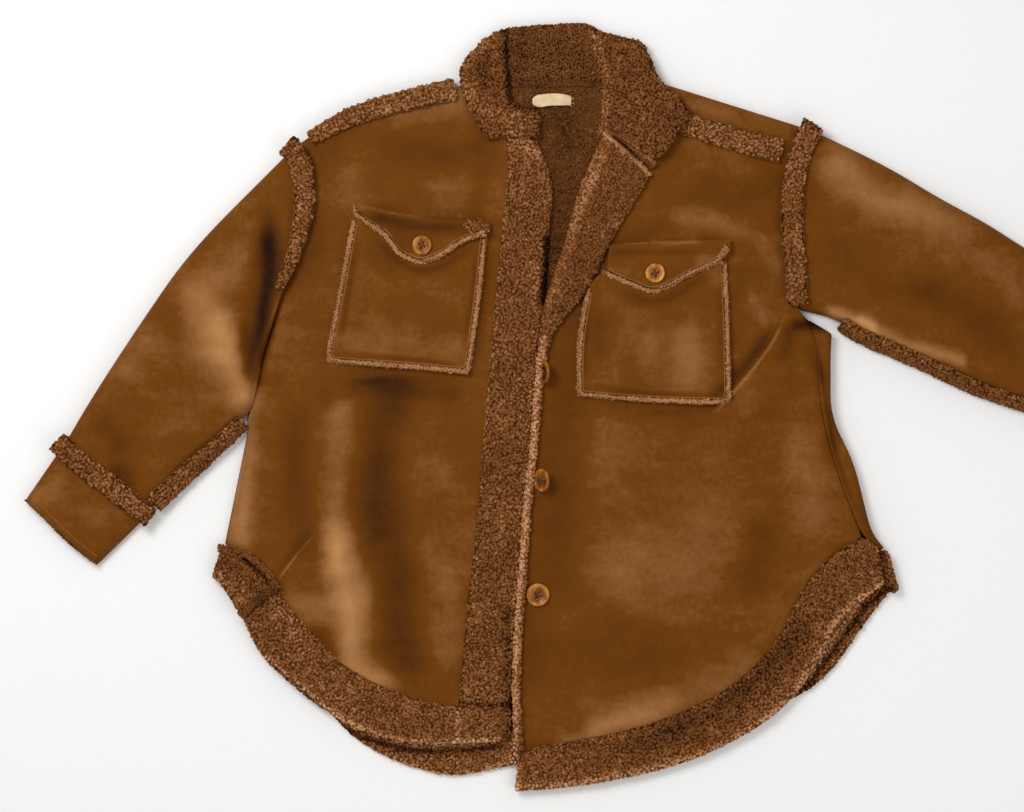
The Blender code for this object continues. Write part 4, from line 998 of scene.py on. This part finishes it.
# Sewn ridges of pile: the gorge between collar and lapel, and the joint of front and hem at the right side
ridges = {
    "gorgeMiddle": dict(line=[(602, 129), (612, 135), (627, 145), (640, 155), (654, 166)],
        width=2.2, tone=-0.16, radius=3.0, low=16.5, lift=0.6),
    "gorgeRidge": dict(line=[(604, 134), (618, 145), (634, 159), (650, 175)],
        width=1.0, tone=0.06, radius=1.3, low=17.5, lift=1.3),
    "gorgeRidgeTwo": dict(line=[(607, 132), (622, 140), (638, 151), (654, 163)],
        width=1.0, tone=0.0, radius=1.3, low=18.5, lift=1.0),
    "sideJoint": dict(line=[(218, 548), (236, 552), (254, 560), (268, 574), (275, 586)],
        width=3.0, tone=-0.05, radius=3.0, low=9.0, lift=1.2),
    "sideJointEdge": dict(line=[(277, 583), (262, 596), (246, 609), (240, 614)],
        width=3.6, tone=-0.10, radius=4.0, low=17.0, lift=1.0),
    "flapCornerRight": dict(line=[(467, 223), (472, 229), (476, 234)],
        width=4.2, tone=0.0, radius=3.6, low=15.0, lift=1.6),
    "flapCornerRightEnd": dict(line=[(476, 223), (484, 227), (488, 230)],
        width=3.4, tone=-0.05, radius=3.2, low=15.0, lift=1.2),
    "flapCornerLeft": dict(line=[(726, 248), (722, 255), (718, 262)],
        width=2.6, tone=0.12, radius=2.6, low=16.0, lift=1.2),
}
for number, (name, s) in enumerate(ridges.items()):
    run = [(x, y, max(z, (s["low"] - 1.0) * mm)) for x, y, z in lineOver(s["line"], 4.0, -1.2)]
    cordOf(name + "Knit", [run], s["radius"], backing)
    rope(name + "Pile", s["line"], s["width"], 2.3, 1.7, 260 + number, s["tone"], s["lift"], s["low"])

# The right cuff: a fine line of its lining beyond the rim, and the sewn line inside it
cuffRim = {"line": [(24.5, 501), (42, 518), (67, 543), (95, 565)],
           "sewn": [(30.5, 496), (47, 511.5), (72, 536), (99, 558)]}
chance = np.random.default_rng(301)
rimPlaces = []
for x, y in along(cuffRim["line"], 1.1):
    for height in (2.6, 5.8, 9.0, 12.2):
        wander = chance.normal(0, 0.35 * mm, 3)
        rimPlaces.append((x + wander[0] + 0.6 * mm, y + wander[1] + 0.6 * mm, height * mm + wander[2]))
rimNormals = np.tile(np.array([[-0.62, -0.62, 0.45]]), (len(rimPlaces), 1))
curls("cuffRimPile", np.array(rimPlaces), rimNormals, 0.95, 0.05, 302)
cordOf("cuffRimSewn", [lineOver(cuffRim["sewn"], 3.0, 0.15)[1:-1]], 0.6, suede)

# The slit of the buttonhole at the end of the neck band
bandSlit = [(512, 121), (518, 118.5), (524, 116)]
cordOf("bandSlit", [lineOver(bandSlit, 2.0, 1.6)], 0.8, thread)

# Buttons: diameter and height in millimetres, how far they are tipped in degrees, and their turn in radians
buttonPieces = {
    "pocket_button_right": dict(diameter=21, height=3.6, tip=0, turn=0.4, tone=0.02),
    "pocket_button_left": dict(diameter=21, height=3.6, tip=0, turn=1.0, tone=0.1),
    "front_button_1": dict(diameter=25, height=4.0, tip=70, turn=0.2, tone=-0.05),
    "front_button_2": dict(diameter=25, height=4.0, tip=48, turn=0.5, tone=0.0),
    "front_button_3": dict(diameter=25, height=4.0, tip=0, turn=0.3, tone=0.05),
}
holeOut, holeRadius = 2.9, 1.05  # millimetres from the middle of the button, and of each hole
buttonProfile = [(0.0, 0.50), (0.50, 0.46), (0.60, 0.52), (0.72, 0.80), (0.80, 0.98), (0.87, 1.0), (0.94, 0.92),
                 (0.99, 0.70), (1.0, 0.45), (0.96, 0.18), (0.86, 0.02), (0.6, 0.0), (0.0, 0.0)]


def buttonMesh(name, s):
    bm = bmesh.new()
    radius, tall = s["diameter"] / 2 * mm, s["height"] * mm
    line = [bm.verts.new((r * radius, 0, h * tall)) for r, h in buttonProfile]
    edges = [bm.edges.new(pair) for pair in zip(line, line[1:])]
    bmesh.ops.spin(bm, geom=line + edges, cent=(0, 0, 0), axis=(0, 0, 1), angle=2 * math.pi, steps=36,
                   use_merge=True)
    bmesh.ops.remove_doubles(bm, verts=bm.verts[:], dist=0.01 * mm)
    bmesh.ops.recalc_face_normals(bm, faces=bm.faces[:])
    return fromBmesh(bm, name)


def holePlace(angle, height):
    return Vector((math.cos(angle) * holeOut * mm, math.sin(angle) * holeOut * mm, height * mm))


def holePins(name, s):
    bm = bmesh.new()
    for quarter in range(4):
        place = Matrix.Translation(holePlace(s["turn"] + math.radians(45 + 90 * quarter), s["height"] * 0.6))
        bmesh.ops.create_cone(bm, cap_ends=True, segments=14, radius1=holeRadius * mm, radius2=holeRadius * mm,
                              depth=8 * mm, matrix=place)
    return linked(name, fromBmesh(bm, name))


for node, s in buttonPieces.items():
    piece = shown(node + "Horn", buttonMesh(node, s), horn)
    pins = holePins(node + "Pins", s)
    cut = piece.modifiers.new("holes", "BOOLEAN")
    cut.operation = "DIFFERENCE"
    cut.object = pins
    cut.solver = "EXACT"
    worked(piece)
    bpy.data.objects.remove(pins)
    low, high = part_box(node)
    radius = s["diameter"] / 2 * mm
    reach = np.linalg.norm(points(piece.data)[:, :2], axis=1) / radius
    x, y = (low.x + high.x) / 2, (low.y + high.y) / 2
    lean = math.radians(s["tip"])
    seat = low.z if s["tip"] == 0 else low.z - 1.5 * mm
    place = Matrix.Translation((x, y, seat + math.sin(lean) * radius * 0.35)) @ Matrix.Rotation(-lean, 4, "Y")
    piece.data.transform(place)
    mark(piece.data, "tone", s["tone"] - 0.16 * (1 - easing(reach, 0.45, 0.75)))
    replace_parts(worn(piece), node)
    low, top = 0.1 * s["height"], 0.62 * s["height"]
    runs = []
    for turn in (45, 135):
        one, two = [s["turn"] + math.radians(turn + k) for k in (0, 180)]
        runs.append([place @ holePlace(*end) for end in ((one, low), (one, top), (two, top), (two, low))])
    cordOf(node + "Thread", runs, 0.45, thread)
print("buttons ready")

# Neck label: bare, with a slightly ragged right end, and a few stitches over it
labelThreads = [[(536, 66), (534, 80), (533, 93)], [(541, 68), (542, 84), (540, 94)],
                [(533, 88), (540, 90), (547, 92)]]
labelFray = [[(570, 96), (573, 97)], [(571, 99), (574, 98)], [(570.5, 102), (574, 103)],
             [(569.5, 104.5), (572, 106)]]
label = smoothCopy("neck_label", "neckLabelCotton", cotton, 3, 0.9)
mesh = label.data
co = points(mesh)
u = (co[:, 0] - co[:, 0].min()) / (co[:, 0].max() - co[:, 0].min())
middle = (co[:, 1].min() + co[:, 1].max()) / 2
tall = np.interp(u, [0, 0.03, 0.08, 0.16, 0.7, 0.9, 1], [0.45, 0.7, 0.92, 1.0, 1.0, 0.86, 0.8])
bow = 1.6 * mm * (1 - (2 * u - 1) ** 2) - 0.9 * mm * np.exp(-((u - 0.25) / 0.1) ** 2) * (co[:, 1] < middle)
ragged = np.array([noise.noise(Vector((y * 900, 4.0, 1.0))) for y in co[:, 1]])
ragged *= 1.3 * mm * np.clip((u - 0.85) / 0.15, 0, 1)
co[:, 1] = middle + (co[:, 1] - middle) * tall + bow
co[:, 0] += ragged
waves = 0.5 * np.sin((co[:, 0] + 0.0465) / mm * 0.16 + 1.0) + 0.35 * np.sin(co[:, 1] / mm * 0.5)
co[:, 2] += (2.6 + waves) * mm
setPoints(mesh, co)
allPieces["neck_label"] = label
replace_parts(worn(label), "neck_label")
labelTree = treeOf(["back", "neck_label"])
cordOf("labelStitches", [lineOver(line, 2.5, 2.0, labelTree) for line in labelThreads], 0.35, thread)
fray = [[(x, y, 7.6 * mm) for x, y in along(line, 1.2)] for line in labelFray]
cordOf("labelFray", fray, 0.25, cotton)

for node, s in {**suedePieces, **sherpaPieces}.items():
    piece = worn(allPieces[node])
    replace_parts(piece, node)
    width, length, area = s["cut"]

# Floor, light and camera
stageSettings = {"floor": 0.98, "floorDrop": 0.0006, "floorSize": 3.0, "sky": 0.56,
                 "skyTint": (1.0, 0.985, 0.96, 1)}
lights = {"windowLight": dict(place=(-0.95, 0.8, 1.75), size=0.9, power=20),
          "fillLight": dict(place=(1.1, -0.8, 1.5), size=1.4, power=5)}
clothHeight = 0.014  # where the cloth is seen at the photograph's scale


def paleFloor():
    bm = bmesh.new()
    bmesh.ops.create_grid(bm, x_segments=2, y_segments=2, size=stageSettings["floorSize"])
    bmesh.ops.translate(bm, verts=bm.verts[:], vec=(0, 0, -stageSettings["floorDrop"]))
    f = Finish("paleFloor", 0.85)
    f.shader.inputs["Base Color"].default_value = (*[stageSettings["floor"]] * 3, 1)
    shown("floor", fromBmesh(bm, "floor"), f.look)


def areaLight(name, place, size, power):
    light = bpy.data.lights.new(name, "AREA")
    light.shape = "DISK"
    light.size = size
    light.energy = power
    lamp = linked(name, light)
    lamp.location = place
    lamp.rotation_euler = (Vector((-0.05, 0, 0)) - Vector(place)).to_track_quat("-Z", "Y").to_euler()


bpy.context.scene.view_settings.view_transform = "Standard"
paleFloor()
world = bpy.data.worlds.new("studio")
world.use_nodes = True
sky = world.node_tree.nodes["Background"].inputs
sky[0].default_value, sky[1].default_value = stageSettings["skyTint"], stageSettings["sky"]
bpy.context.scene.world = world
for name, s in lights.items():
    areaLight(name, **s)
camera = bpy.data.cameras.new("camera")
camera.lens, camera.sensor_width = 100, 36
cameraPiece = linked("camera", camera)
cameraPiece.location = (photoX, photoY, clothHeight + photoWide * pixel * camera.lens / camera.sensor_width)
bpy.context.scene.camera = cameraPiece
